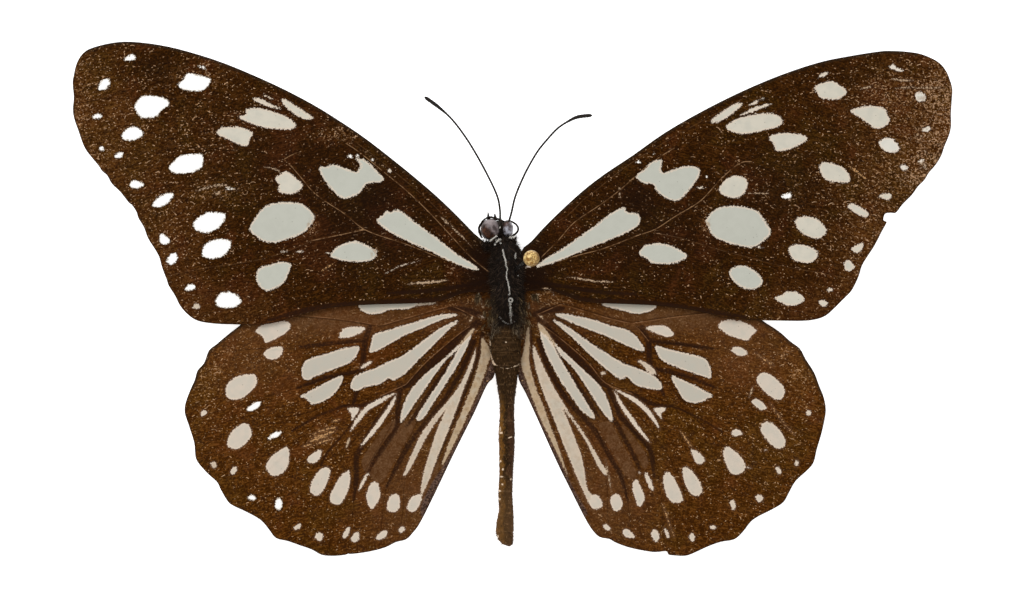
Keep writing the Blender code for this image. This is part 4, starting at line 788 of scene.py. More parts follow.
def smooth_curve(points, steps, closed):
    """Catmull-Rom curve: between two points a cubic whose slope at each is half the chord over it."""
    held = np.asarray(points, float)
    if closed:
        before, after, beyond = np.roll(held, 1, 0), np.roll(held, -1, 0), np.roll(held, -2, 0)
    else:
        wide = np.vstack([held[:1], held, held[-1:]])
        before, held, after, beyond = wide[:-3], wide[1:-2], wide[2:-1], wide[3:]
    t = (np.arange(steps) / steps)[None, :, None]
    b, s, e, a = (v[:, None, :] for v in (before, held, after, beyond))
    curve = 0.5 * (2 * s + (e - b) * t + (2 * b - 5 * s + 4 * e - a) * t ** 2
                   + (3 * s - b - 3 * e + a) * t ** 3)
    curve = curve.reshape(-1, curve.shape[-1])
    return curve if closed else np.vstack([curve, after[-1:]])


def along_line(x, y, line, closed):
    """Distance to a line of straight pieces, the nearest point on it, the side that the point lies on
    (positive to the left of the line) and the share of the line's length that the nearest point has."""
    line = np.asarray(line, float)
    ends = np.roll(line, -1, 0) if closed else line[1:]
    starts = line if closed else line[:-1]
    lengths = np.maximum(np.hypot(*(ends - starts).T), 1e-9)
    before = np.concatenate([[0.0], np.cumsum(lengths)[:-1]])
    best = np.full(x.shape, np.inf)
    near_x, near_y, side, share = (np.zeros(x.shape) for _ in range(4))
    for (ax, ay), (bx, by), length, start in zip(starts, ends, lengths, before):
        ux, uy = (bx - ax) / length, (by - ay) / length
        t = np.clip((x - ax) * ux + (y - ay) * uy, 0.0, length)
        dx, dy = x - ax - t * ux, y - ay - t * uy
        gap = dx * dx + dy * dy
        closer = gap < best
        best = np.where(closer, gap, best)
        near_x = np.where(closer, ax + t * ux, near_x)
        near_y = np.where(closer, ay + t * uy, near_y)
        side = np.where(closer, np.sign(ux * dy - uy * dx), side)
        share = np.where(closer, (start + t) / lengths.sum(), share)
    return np.sqrt(best), near_x, near_y, side, share


def inside(x, y, outline):
    """True where a ray to the right of the point crosses the closed outline an odd number of times."""
    crossed = np.zeros(x.shape, bool)
    for (ax, ay), (bx, by) in zip(outline, np.roll(outline, -1, 0)):
        if ay != by:
            over = (ay > y) != (by > y)
            crossed ^= over & (x < ax + (bx - ax) * (y - ay) / (by - ay))
    return crossed


def forewing_height(x, y):
    """Height of the forewing: a fall from the root that grows a little faster than the reach. It has
    the same height all along Y."""
    reach = np.maximum(np.abs(x) - WING_ROOT_REACH, 0) / (FOREWING_TIP_REACH - WING_ROOT_REACH)
    return FOREWING_ROOT_HEIGHT - (FOREWING_ROOT_HEIGHT - FOREWING_TIP_HEIGHT) * reach ** DROOP_POWER


def hindwing_height(x, y):
    """Height of the hindwing: the forewing's, less a step, less a fall towards the rear, less a dip
    beside the abdomen."""
    back = np.maximum(HINDWING_REAR_START - y, 0) / HINDWING_REAR_LENGTH
    dip = ROOT_DIP * np.exp(-((x - BODY_MIDDLE) / ROOT_DIP_REACH) ** 4)
    return (forewing_height(x, y) - HINDWING_DROP - HINDWING_REAR_DROOP * back ** REAR_DROOP_POWER
            - dip * np.clip((ROOT_DIP_START - y) / ROOT_DIP_RUN, 0, 1))


def wave_height(x, y):
    """Slow wave of a wing between its veins: the mean of two sine waves that cross each other."""
    return WAVE_RISE * (np.sin(0.9 * x + 0.5 * y) + np.sin(0.35 * x - 1.1 * y + 1.0)) / 2


def near_box(x, y, points, reach):
    """Indices of the points that lie within reach of the box around an outline."""
    points = np.asarray(points, float)
    low, high = points.min(0) - reach, points.max(0) + reach
    return np.nonzero((x > low[0]) & (x < high[0]) & (y > low[1]) & (y < high[1]))[0]


def depth_into(x, y, numbers):
    """Indices of the points near a closed outline, and their distance to its smooth curve: positive
    inside it, negative outside."""
    edge = smooth_curve(pairs(numbers), MARK_STEPS, True)
    at = near_box(x, y, edge, MARK_REACH)
    gap = along_line(x[at], y[at], edge, True)[0]
    return at, np.where(inside(x[at], y[at], edge), gap, -gap)


def mark_field(x, y, marks, ovals, streaks):
    """Largest signed distance into any pale mark (positive inside it, cut off at -MARK_REACH), with
    the whiteness and the tan share of the mark that it belongs to. A mark's edge is a smooth closed
    curve, an oval's is an ellipse, and a streak narrows from its half width to nothing at both ends."""
    field = np.full(x.shape, -MARK_REACH)
    white, tan = np.zeros(x.shape), np.zeros(x.shape)

    def keep(at, depth, tint):
        """Takes over a depth, with its tint, where it is larger than the one so far."""
        better = depth > field[at]
        chosen = at[better]
        field[chosen] = depth[better]
        white[chosen], tan[chosen] = tint

    for tint, outlines in marks.items():
        for numbers in outlines:
            keep(*depth_into(x, y, numbers), tint)
    for tint, ellipses in ovals.items():
        for middle_x, middle_y, half_x, half_y in ellipses:
            corner = [(middle_x - half_x, middle_y - half_y), (middle_x + half_x, middle_y + half_y)]
            at = near_box(x, y, corner, MARK_REACH)
            ring = np.hypot((x[at] - middle_x) / half_x, (y[at] - middle_y) / half_y)
            keep(at, (1 - ring) * min(half_x, half_y), tint)
    for tint, lines in streaks.items():
        for half_width, numbers in lines:
            line = smooth_curve(pairs(numbers), STREAK_STEPS, False)
            at = near_box(x, y, line, MARK_REACH)
            gap, _, _, _, share = along_line(x[at], y[at], line, False)
            width = half_width * (1.4 * np.sqrt(np.clip(4 * share * (1 - share), 0, 1)) - 0.4)
            keep(at, width - gap, tint)
    return field, white, tan


def band_field(x, y, bands, strips):
    """Signed distance into the dark bands, the smooth and the mottled strips, positive inside them. A
    band keeps its width up to its last sixth and then narrows to three tenths of it."""
    dark, *kinds = (np.full(x.shape, -MARK_REACH) for _ in range(3))
    for half_width, numbers in bands:
        line = smooth_curve(pairs(numbers), MARK_STEPS, False)
        at = near_box(x, y, line, MARK_REACH + half_width)
        gap, _, _, _, share = along_line(x[at], y[at], line, False)
        width = half_width * np.clip(6 * (1 - share), 0.3, 1)
        dark[at] = np.maximum(dark[at], width - gap)
    for kind, outlines in strips.items():
        for numbers in outlines:
            at, depth = depth_into(x, y, numbers)
            kinds[kind][at] = np.maximum(kinds[kind][at], depth)
    return dark, *kinds


def vein_field(x, y, veins):
    """Signed distance to the nearest vein within VEIN_REACH, the plain distance, and its tone."""
    signed, plain = np.full(x.shape, VEIN_REACH), np.full(x.shape, VEIN_REACH)
    tone = np.zeros(x.shape)
    for shade, numbers in veins:
        line = smooth_curve(pairs(numbers), MARK_STEPS, False)
        at = near_box(x, y, line, VEIN_REACH)
        gap, _, _, side, _ = along_line(x[at], y[at], line, False)
        closer = gap < plain[at]
        chosen = at[closer]
        plain[chosen], signed[chosen], tone[chosen] = gap[closer], (gap * side)[closer], shade
    return signed, plain, tone


def patch_field(x, y, patches):
    """Sums of bell-shaped patches: lightness (dark below nought), smoothness and wear."""
    light, smooth, wear = (np.zeros(x.shape) for _ in range(3))
    for middle_x, middle_y, half_x, half_y, lighter, smoother, worn in patches:
        bell = np.exp(-(((x - middle_x) / half_x) ** 2 + ((y - middle_y) / half_y) ** 2))
        light += lighter * bell
        smooth += smoother * bell
        wear += worn * bell
    return np.clip(light, -1, 1), np.clip(smooth, 0, 1), np.clip(wear, 0, 1)


def fill_mesh(name, corners, faces, material, smooth=True, attributes=None):
    """Object whose mesh has the given corners (in millimetres), faces of one size, material and
    vector attributes on its corners."""
    mesh = bpy.data.meshes.new(name)
    faces = np.asarray(faces, np.int32)
    count, size = faces.shape
    mesh.vertices.add(len(corners))
    mesh.vertices.foreach_set("co", (np.asarray(corners) * MM).astype(np.float32).ravel())
    mesh.loops.add(count * size)
    mesh.loops.foreach_set("vertex_index", faces.ravel())
    mesh.polygons.add(count)
    mesh.polygons.foreach_set("loop_start", np.arange(count, dtype=np.int32) * size)
    mesh.polygons.foreach_set("loop_total", np.full(count, size, np.int32))
    mesh.polygons.foreach_set("use_smooth", np.full(count, smooth))
    for label, values in (attributes or {}).items():
        layer = mesh.attributes.new(label, "FLOAT_VECTOR", "POINT")
        layer.data.foreach_set("vector", np.stack(values, 1).astype(np.float32).ravel())
    mesh.update(calc_edges=True)
    mesh.materials.append(material)
    piece = bpy.data.objects.new(name, mesh)
    bpy.context.collection.objects.link(piece)
    return piece


def wing_piece(name, node, outline, height, marks, ovals, streaks, veins, bands, strips, patches,
               material, slot):
    """One wing as a thin closed sheet. A square grid of points covers the outline, and the points
    outside it or within a share of the pitch are moved to the nearest place on it. The upper side
    lies at the wing's height plus a ridge over each vein and a slow wave, and the lower side lies
    one thickness below. A wall joins the two along the rim. Its attributes hold three values each,
    so the last value of "strip" only fills it up."""
    edge = smooth_curve(pairs(outline), RIM_STEPS, True)
    low, high = edge.min(0) - 2 * WING_PITCH, edge.max(0) + 2 * WING_PITCH
    columns = np.arange(low[0], high[0], WING_PITCH)
    rows = np.arange(low[1], high[1], WING_PITCH)
    grid_x, grid_y = np.meshgrid(columns, rows)
    within = inside(grid_x, grid_y, edge)
    gap, near_x, near_y, _, _ = along_line(grid_x, grid_y, edge, True)
    core = within & (gap > SNAP_SHARE * WING_PITCH)
    x, y = np.where(core, grid_x, near_x), np.where(core, grid_y, near_y)
    kept = core[:-1, :-1] | core[1:, :-1] | core[:-1, 1:] | core[1:, 1:]

    index = np.arange(grid_x.size).reshape(grid_x.shape)
    cells = np.stack([index[:-1, :-1], index[:-1, 1:], index[1:, 1:], index[1:, :-1]], -1)
    padded = np.pad(kept, 1)
    walls = []
    for (down, across), a, b in (((0, 1), 0, 1), ((1, 2), 1, 2), ((2, 1), 2, 3), ((1, 0), 3, 0)):
        beside = padded[down:down + kept.shape[0], across:across + kept.shape[1]]
        rim = cells[kept & ~beside]
        walls.append(np.stack([rim[:, b], rim[:, a]], 1))
    walls = np.concatenate(walls)
    top = cells[kept]
    used, flat = np.unique(top, return_inverse=True)
    top = flat.reshape(top.shape)
    walls = np.searchsorted(used, walls)
    x, y = x.ravel()[used], y.ravel()[used]
    margin = np.where(core.ravel()[used], gap.ravel()[used], 0.0)

    signed, plain, tone = vein_field(x, y, veins)
    depth, white, tan = mark_field(x, y, marks, ovals, streaks)
    light, smooth, wear = patch_field(x, y, patches)
    dark, mauve, mottled = band_field(x, y, bands, strips)
    front = along_line(x, y, edge[:RIM_STEPS * FRONT_EDGE_POINTS], False)[0]
    ridge = VEIN_RISE * np.exp(-(plain / VEIN_HALF_WIDTH) ** 2)
    quiet = np.clip(margin / QUIET_MARGIN, 0.0, 1.0)
    upper = height(x, y) + WING_LIFT + ridge * quiet + wave_height(x, y) * quiet
    lower = np.maximum(upper - WING_THICKNESS, LOWEST_SHEET)
    upper = np.maximum(upper, lower + THINNEST_SHEET)

    count = len(x)
    corners = np.concatenate([np.stack([x, y, upper], 1), np.stack([x, y, lower], 1)])
    sides = np.stack([walls[:, 0], walls[:, 1], walls[:, 1] + count, walls[:, 0] + count], 1)
    faces = np.concatenate([top, top[:, ::-1] + count, sides])
    layers = {"mark": (depth, white, tan), "vein": (signed, plain, tone), "zone": (margin, wear, front),
              "patch": (light, smooth, dark), "strip": (mauve, mottled, mottled)}
    attributes = {label: [np.tile(v, 2) for v in values] for label, values in layers.items()}
    piece = fill_mesh(name, corners, faces, material, True, attributes)
    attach(piece, "root")
    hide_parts(node)


def ring_faces(rings, sides):
    """Faces of a tube of rings with the same number of sides, each ring's points in one turn."""
    k, j = np.meshgrid(np.arange(sides), np.arange(rings - 1))
    following = (k + 1) % sides
    return np.stack([j * sides + k, j * sides + following, (j + 1) * sides + following,
                     (j + 1) * sides + k], -1).reshape(-1, 4)


def close_ends(corners, sides):
    """Corners of rings with one more ring at either end, drawn together in the end ring's middle."""
    first, last = corners[:sides].mean(0), corners[-sides:].mean(0)
    return np.concatenate([np.repeat(first[None], sides, 0), corners, np.repeat(last[None], sides, 0)])


def mirrored(points):
    """Points flipped over the middle plane of the body."""
    flipped = np.array(points)
    flipped[:, 0] = 2 * BODY_MIDDLE - flipped[:, 0]
    return flipped


def all_legs():
    """Node and left joints of each leg, and whether the leg is the right one of its pair."""
    for left, joints in LEGS.items():
        yield left, joints, False
        yield left.replace("left", "right"), joints, True


def tube_piece(name, path, radii, sides, material):
    """Round tube: at each point of the path a ring of the given radius, square to the path, and a
    last ring of almost no radius at either end that closes it."""
    path, radii = np.asarray(path, float), np.asarray(radii, float)
    path = np.vstack([path[:1], path, path[-1:]])
    radii = np.concatenate([[1e-3], radii, [1e-3]])
    along = np.gradient(path, axis=0)
    along /= np.maximum(np.linalg.norm(along, axis=1, keepdims=True), 1e-9)
    across = np.cross(along, TUBE_REFERENCE)
    across /= np.linalg.norm(across, axis=1, keepdims=True)
    upward = np.cross(across, along)
    turn = 2 * np.pi * np.arange(sides) / sides
    ring = np.cos(turn)[None, :, None] * across[:, None] + np.sin(turn)[None, :, None] * upward[:, None]
    corners = (path[:, None] + radii[:, None, None] * ring).reshape(-1, 3)
    faces = ring_faces(len(path), sides)
    piece = fill_mesh(name, corners, faces[:, ::-1], material)
    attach(piece, "root")
    return piece


def ellipsoid_piece(name, centre, radii, material, bump=None):
    """Ellipsoid from rings of latitude, with a bump given as a share of the radius at each point."""
    rings, sides = 49, 96
    tilt = np.linspace(1e-3, np.pi - 1e-3, rings)[:, None]
    turn = (2 * np.pi * np.arange(sides) / sides)[None, :]
    unit = np.stack([np.sin(tilt) * np.cos(turn), np.sin(tilt) * np.sin(turn),
                     np.cos(tilt) * np.ones_like(turn)], -1).reshape(-1, 3)
    swell = 1 + (bump(unit) if bump else 0)
    corners = np.asarray(centre) + unit * np.asarray(radii) * np.reshape(swell, (-1, 1))
    piece = fill_mesh(name, corners, ring_faces(rings, sides)[:, ::-1], material)
    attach(piece, "root")
    return piece


def body_section(stations, y):
    """Middle X, middle Z, half width and half height of a body at each y, by straight steps."""
    order = np.argsort(stations[:, 0])
    return [np.interp(y, stations[order, 0], stations[order, k]) for k in (1, 2, 3, 4)]


def body_point(stations, y, angle, lift=0.0):
    """Point on an elliptical body section, lifted outwards, with the outward direction there."""
    middle_x, middle_z, half_width, half_height = body_section(stations, y)
    outward = np.stack([np.cos(angle) / half_width, np.zeros_like(y), np.sin(angle) / half_height], 1)
    outward /= np.linalg.norm(outward, axis=1, keepdims=True)
    point = np.stack([middle_x + half_width * np.cos(angle), y,
                      middle_z + half_height * np.sin(angle)], 1)
    return point + outward * lift, outward


def hair_piece(name, roots, lean, lengths, radius, bend, material):
    """Many hairs in one mesh. Each is a closed three-sided spike: its middle line runs from the root
    along its lean and curves by bend times the square of the way along, and it narrows to a point.
    The attribute "hair" holds a random share for each hair and the way along it."""
    count = len(roots)
    lean = lean / np.linalg.norm(lean, axis=1, keepdims=True)
    across = np.cross(lean, HAIR_REFERENCE)
    across /= np.linalg.norm(across, axis=1, keepdims=True)
    second = np.cross(lean, across)
    lengths = lengths[:, None]
    rings = []
    for share, thick in HAIR_RINGS:
        middle = roots + lean * lengths * share + bend * lengths * share ** 2
        for turn in HAIR_SIDES:
            rings.append(middle + radius * thick * (across * math.cos(turn) + second * math.sin(turn)))
    rings.append(roots + lean * lengths + bend * lengths)
    corners = np.stack(rings, 1).reshape(-1, 3)
    faces = [(0, 2, 1)]
    for ring in (0, 3):
        for k in range(3):
            a, b = ring + k, ring + (k + 1) % 3
            faces += [(a, b, b + 3), (a, b + 3, a + 3)]
    faces += [(6, 7, 9), (7, 8, 9), (8, 6, 9)]
    faces = (np.array(faces)[None] + len(rings) * np.arange(count)[:, None, None]).reshape(-1, 3)
    luck = np.repeat(np.random.default_rng(count).uniform(0, 1, count), len(rings))
    along = np.tile([share for share, _ in HAIR_RINGS for _ in HAIR_SIDES] + [1.0], count)
    piece = fill_mesh(name, corners, faces, material, True, {"hair": [luck, along, along]})
    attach(piece, "root")


class Finish:
    """Builds one node material. Most methods add a node and return the socket that holds its result."""

    def __init__(self, name, roughness, specular=0.5, metallic=0.0, coat=0.0):
        """Empty material whose textures are placed in millimetres."""
        self.material = bpy.data.materials.new(name)
        self.material.use_nodes = True
        self.tree = self.material.node_tree
        self.shader = self.tree.nodes["Principled BSDF"]
        for socket, value in (("Roughness", roughness), ("Specular IOR Level", specular),
                              ("Metallic", metallic), ("Coat Weight", coat)):
            self.shader.inputs[socket].default_value = value
        place = self.add("ShaderNodeTexCoord").outputs["Object"]
        scaled = self.add("ShaderNodeVectorMath", {0: place, "Scale": 1 / MM}, operation="SCALE")
        self.place = scaled.outputs[0]

    def add(self, kind, inputs=None, **settings):
        """Node of the given kind with its settings, and with another node's socket or a plain value
        fed to each of the inputs."""
        node = self.tree.nodes.new(kind)
        for key, value in settings.items():
            setattr(node, key, value)
        for key, value in (inputs or {}).items():
            self.feed(node.inputs[key], value)
        return node

    def feed(self, socket, value):
        """Links another node's socket, or sets a plain value."""
        if isinstance(value, bpy.types.NodeSocket):
            self.tree.links.new(value, socket)
        elif value is not None:
            socket.default_value = value

    def math(self, operation, a, b=None, c=None, clamp=False):
        """One sum of up to three values."""
        node = self.add("ShaderNodeMath", {0: a, 1: b, 2: c}, operation=operation, use_clamp=clamp)
        return node.outputs[0]

    def times(self, *values):
        """Product of all the values."""
        product, *others = values
        for value in others:
            product = self.math("MULTIPLY", product, value)
        return product

    def rest(self, share):
        """What a share leaves of the whole: 1 - share."""
        return self.math("SUBTRACT", 1.0, share)

    def sway(self, noise, amount):
        """Noise around nought: (noise - 0.5) * amount."""
        return self.times(self.math("SUBTRACT", noise, 0.5), amount)

    def mix(self, share, first, second):
        """Colour that goes from the first to the second with the share."""
        return self.add("ShaderNodeMix", {0: share, 6: first, 7: second}, data_type="RGBA").outputs[2]

    def step(self, value, low, high, reach=1.0):
        """Smooth step from 0 at low to reach at high. It falls where low is the larger one."""
        inputs = {0: value, 1: low, 2: high, 3: 0.0, 4: reach}
        return self.add("ShaderNodeMapRange", inputs, interpolation_type="SMOOTHSTEP").outputs[0]

    def noise(self, per_mm, detail=2.0, roughness=0.5, distortion=0.0, place=None):
        """Cloudy noise with about per_mm clouds to a millimetre."""
        inputs = {"Vector": place or self.place, "Scale": per_mm, "Detail": detail,
                  "Roughness": roughness, "Distortion": distortion}
        return self.add("ShaderNodeTexNoise", inputs).outputs["Fac"]

    def cells(self, per_mm):
        """Distance to the nearest of many scattered points, and a random share for each of them."""
        node = self.add("ShaderNodeTexVoronoi", {"Vector": self.place, "Scale": per_mm})
        return node.outputs["Distance"], self.split(node.outputs["Color"])[0]

    def split(self, vector):
        """The three values of a vector."""
        return tuple(self.add("ShaderNodeSeparateXYZ", {0: vector}).outputs)

    def attribute(self, label):
        """The three values that the mesh holds under the label."""
        return self.split(self.add("ShaderNodeAttribute", attribute_name=label).outputs["Vector"])

    def streaks(self, angle, along, across, low, high):
        """Thin lines at an angle: noise stretched along it, cut to its highest places."""
        turned = self.add("ShaderNodeVectorRotate", {"Vector": self.place, "Angle": angle},
                          rotation_type="Z_AXIS")
        stretched = self.add("ShaderNodeVectorMath", {0: turned.outputs[0], 1: (along, across, 1.0)},
                             operation="MULTIPLY")
        return self.step(self.noise(1.0, 2.0, 0.6, 0.15, stretched.outputs[0]), low, high)

    def strokes(self, per_mm, half_length, half_width, middle, spread):
        """Short lines, one at each of many scattered points, each turned by its own amount from the
        middle angle and bent a little, with a random share for each of them."""
        node = self.add("ShaderNodeTexVoronoi", {"Vector": self.place, "Scale": per_mm},
                        voronoi_dimensions="2D")
        chance, turn, size = self.split(node.outputs["Color"])
        offset = self.add("ShaderNodeVectorMath", {0: self.place, 1: node.outputs["Position"]},
                          operation="SUBTRACT")
        angle = self.math("MULTIPLY_ADD", turn, 2 * spread, middle - spread)
        turned = self.add("ShaderNodeVectorRotate", {"Vector": offset.outputs[0], "Angle": angle},
                          rotation_type="Z_AXIS")
        x, y, _ = self.split(turned.outputs[0])
        bent = self.math("MULTIPLY_ADD", self.times(x, x), self.math("MULTIPLY_ADD", size, 3.0, -1.5), y)
        reach = self.math("MULTIPLY_ADD", size, half_length, 0.3 * half_length)
        line = self.times(self.step(self.math("ABSOLUTE", bent), half_width, 0.4 * half_width),
                          self.math("LESS_THAN", self.math("ABSOLUTE", x), reach))
        return line, chance

    def relief(self, height, depth_mm, strength=1.0):
        """Bumps of the surface from a height between 0 and 1."""
        node = self.add("ShaderNodeBump", {"Strength": strength, "Distance": depth_mm * MM,
                                           "Height": height})
        self.feed(self.shader.inputs["Normal"], node.outputs[0])

    def done(self, colour):
        """The material with its colour."""
        self.feed(self.shader.inputs["Base Color"], colour)
        return self.material


# Strokes on a wing: how many to a millimetre, half length and half width, the middle angle, and the
# noise from which they stand. Dots: how many to a millimetre, the share left out, and the radius.
STROKES = ((1.1, 0.24, 0.05, 0.15, 0.58), (1.7, 0.12, 0.055, -0.3, 0.53), (1.4, 0.16, 0.05, 1.0, 0.59),
           (2.7, 0.07, 0.055, 0.3, 0.52))
STROKE_SPREAD = 0.6
DOTS = ((2.6, 0.955, 0.19), (4.2, 0.94, 0.26))


def wing_finish(name, tones, mark_tones, fringe, vein, speckled, dotted, ragged, mirror, shift):
    """Scaled wing. The ground runs from a deep to a light grain, both lifted where the wing is paler,
    tinted olive and rust in broad areas, with short strokes and uneven dots that are brighter where
    the scales are rubbed. Over it lie smooth and mottled strips, dark bands, veins, and the pale marks
    with a cream rim and a ragged edge. Along a forewing's rear margin a band and a darker patch are
    painted shade of the folded margin. The pattern is mirrored and shifted from wing to wing."""
    f = Finish(name, roughness=0.85, specular=0.02)
    inputs = {0: f.place, 1: (mirror, 1.0, 1.0), 2: (shift, 2 * shift, 0.0)}
    f.place = f.add("ShaderNodeVectorMath", inputs, operation="MULTIPLY_ADD").outputs[0]
    depth, white, tan = f.attribute("mark")
    signed, plain, tone = f.attribute("vein")
    margin, wear, front = f.attribute("zone")
    light, smooth, dark = f.attribute("patch")
    mauve, mottled, _ = f.attribute("strip")
    deep, deep_lit, pale, pale_lit, stroke, fleck, mellow, olive, rust, dusk = tones

    # How smooth each place is, and where strokes and dots may stand
    mauve_share = f.step(mauve, -0.12, 0.1)
    calm = f.math("MAXIMUM", f.times(smooth, 0.75), f.times(mauve_share, 0.8))
    rough = f.rest(calm)
    band = f.step(dark, -0.22, 0.0)
    away = f.times(f.step(depth, -0.03, -0.15), f.rest(band))
    active = f.times(rough, away)

    # Ground and grain
    broad = f.noise(0.45, 4.0, 0.6)
    lift = f.math("ADD", f.step(broad, 0.42, 0.75, 0.4), f.times(light, 0.8), clamp=True)
    grain = f.noise(4.8, 3.0, 0.65)
    fibre = f.streaks(0.25, 1.5, 7.0, 0.48, 0.7)
    grained = f.math("MAXIMUM", f.step(grain, 0.48, 0.7), f.times(fibre, 0.8))
    grained = f.times(grained, f.math("MULTIPLY_ADD", active, speckled, 0.2))
    ground = f.mix(lift, deep, deep_lit)
    hue = f.noise(0.22, 3.0, 0.6, 0.5)
    green, red = f.step(hue, 0.5, 0.62, 0.35), f.step(hue, 0.46, 0.34, 0.5)
    ground = f.mix(green, ground, olive)
    ground = f.mix(red, ground, rust)
    ground = f.mix(f.step(f.noise(1.4, 3.0, 0.6), 0.52, 0.32, 0.5), ground, dusk)
    grains = f.mix(green, f.mix(lift, pale, pale_lit), ink(104, 74, 26))
    grains = f.mix(red, grains, ink(114, 66, 36))
    ground = f.mix(grained, ground, grains)
    blotched = f.mix(f.step(f.noise(1.3, 4.0, 0.65), 0.38, 0.62, 0.6), mellow, deep_lit)
    blotched = f.mix(f.step(grain, 0.42, 0.66, 0.1), blotched, fleck)
    ground = f.mix(f.times(calm, 0.85), ground, blotched)
    mottle = f.times(f.step(mottled, -0.15, 0.1), f.rest(f.step(depth, -0.1, 0.0)))
    ground = f.mix(mottle, ground, f.mix(f.step(grain, 0.42, 0.62), ink(50, 34, 27), ink(104, 80, 68)))

    # Strokes, rubbed places and dots
    for per_mm, reach, wide, middle, low in STROKES:
        line, chance = f.strokes(per_mm, reach, wide, middle, STROKE_SPREAD)
        where = f.math("ADD", f.noise(per_mm * 0.5, 3.0, 0.6), f.times(wear, 0.26))
        odds = f.math("GREATER_THAN", chance, f.step(where, low + 0.16, low - 0.04))
        faint = f.math("MULTIPLY_ADD", f.noise(1.9, 1.0), 1.9, -0.35, clamp=True)
        share = f.times(line, odds, active, faint)
        ground = f.mix(share, ground, f.mix(chance, stroke, fleck))
    rubbed = f.times(wear, f.step(f.noise(3.4, 4.0, 0.7, 0.2), 0.52, 0.64))
    ground = f.mix(f.times(rubbed, active, 0.7), ground, f.mix(f.step(wear, 0.6, 1.0, 0.7), stroke, fleck))
    crowd = f.math("MULTIPLY_ADD", f.noise(0.8, 3.0, 0.6), 3.0, -0.85, clamp=True)
    crowd = f.math("MAXIMUM", crowd, wear)
    for per_mm, share, radius in DOTS:
        gap, chance = f.cells(per_mm)
        bar = f.math("SUBTRACT", share, f.times(wear, 0.4))
        dots = f.times(f.step(gap, radius, 0.5 * radius), f.math("GREATER_THAN", chance, bar))
        dots = f.times(dots, crowd, active, dotted)
        bright = f.math("MAXIMUM", f.step(chance, 0.95, 1.0), f.step(wear, 0.2, 0.8))
        ground = f.mix(dots, ground, f.mix(bright, stroke, fleck))

    # Dark bands and veins; along a forewing's rear margin the band is a painted shade of the fold
    band = f.times(band, f.step(grain, 0.75, 0.45, 0.75))
    ground = f.mix(band, ground, ink(40, 23, 15))
    # Darker where a patch's lightness is below nought: the wing's own dark areas, and painted shade along a
    # forewing's rear margin near the root
    ground = f.mix(f.step(light, 0.0, -1.0, 0.88), ground, dusk)
    near = f.step(plain, 0.3, 0.2)
    line = f.times(f.step(f.math("ABSOLUTE", signed), 0.055, 0.01), near)
    broken = f.step(f.noise(1.1, 4.0, 0.7), 0.36, 0.6)
    glow = f.times(f.step(plain, 0.24, 0.04), f.step(tone, 0.3, 1.0))
    ground = f.mix(f.times(glow, 0.15), ground, ink(92, 56, 26))
    beside = f.math("ABSOLUTE", f.math("SUBTRACT", signed, 0.13))
    beside = f.times(f.step(beside, 0.08, 0.03), near, tone)
    dark_line = f.math("MAXIMUM", f.times(line, f.step(tone, 0.3, 0.0)), beside)
    ground = f.mix(f.times(dark_line, 0.5), ground, ink(26, 12, 5))
    pale_line = f.times(line, broken, f.step(tone, 0.3, 1.0))
    ground = f.mix(f.times(pale_line, 0.85), ground, vein)

    # Pale marks with their ragged edge, rim, stains and halo
    uneven = f.math("ADD", f.step(broad, 0.35, 0.6, 0.6 * ragged), 0.5 * ragged)
    teeth = f.sway(f.noise(4.2, 3.0, 0.85), uneven)
    nicks = f.sway(f.noise(8.5, 1.0), 0.4 * ragged)
    edge = f.math("ADD", depth, f.math("ADD", teeth, nicks))
    cool, warm, brown = mark_tones
    inner = f.mix(f.step(tan, 0.0, 0.5), cool, warm)
    inner = f.mix(f.step(tan, 0.5, 1.0), inner, brown)
    inner = f.mix(f.step(f.noise(1.1, 3.0), 0.35, 0.7, 0.35), inner, ink(183, 183, 171))
    stain = f.times(f.step(tan, 0.5, 1.0), f.step(f.noise(1.7, 4.0, 0.7), 0.4, 0.65, 0.7))
    inner = f.mix(stain, inner, ink(156, 128, 94))
    specks = f.times(f.step(f.cells(1.5)[0], 0.1, 0.05), 0.5)
    inner = f.mix(specks, inner, ink(112, 104, 88))
    rim = f.mix(f.step(tan, 0.5, 1.0), ink(224, 205, 184), brown)
    inner = f.mix(f.step(edge, 0.22, 0.09, 0.75), inner, rim)
    inner = f.mix(f.step(tan, 1.0, 1.5), inner, ink(196, 150, 100))
    inner = f.mix(f.times(white, f.step(edge, 0.04, 0.1)), inner, ink(255, 255, 254))
    halo = f.mix(f.step(tan, 0.2, 0.5), ink(38, 21, 6), fringe)
    ground = f.mix(f.times(f.step(edge, -0.26, -0.02), 0.35), ground, halo)
    worn_mark = f.times(wear, f.step(f.noise(2.2, 4.0, 0.7), 0.45, 0.6, 0.7))
    inner = f.mix(f.times(worn_mark, f.step(wear, 0.45, 0.7)), inner, ink(150, 114, 76))
    colour = f.mix(f.step(edge, -0.03, 0.04), ground, inner)

    # Darker rim and front edge of the wing
    colour = f.mix(f.times(f.step(margin, 0.2, 0.06), 0.5), colour, ink(44, 28, 17))
    colour = f.mix(f.times(f.step(front, 0.42, 0.16), 0.6), colour, ink(42, 33, 23))
    f.relief(grain, 0.03, 0.4)
    return f.done(colour)


def hair_finish(name, dark, light, pale, pale_share=0.1):
    """Dry hair: most hairs have a tone between dark and light, some are pale, and the tips are lighter."""
    f = Finish(name, roughness=0.7, specular=0.06)
    luck, along, _ = f.attribute("hair")
    colour = f.mix(f.step(luck, 0.25, 1.0 - pale_share), dark, light)
    colour = f.mix(f.math("GREATER_THAN", luck, 1.0 - pale_share), colour, pale)
    return f.done(f.mix(f.times(along, 0.2), colour, pale))


def crust_finish(name, dark, light):
    """Dry skin under the hair: two tones in small blotches with a pitted surface."""
    f = Finish(name, roughness=0.7, specular=0.3)
    blotch = f.noise(3.0, 4.0, 0.65)
    f.relief(f.noise(7.0, 3.0), 0.05, 0.6)
    return f.done(f.mix(f.step(blotch, 0.35, 0.7), dark, light))


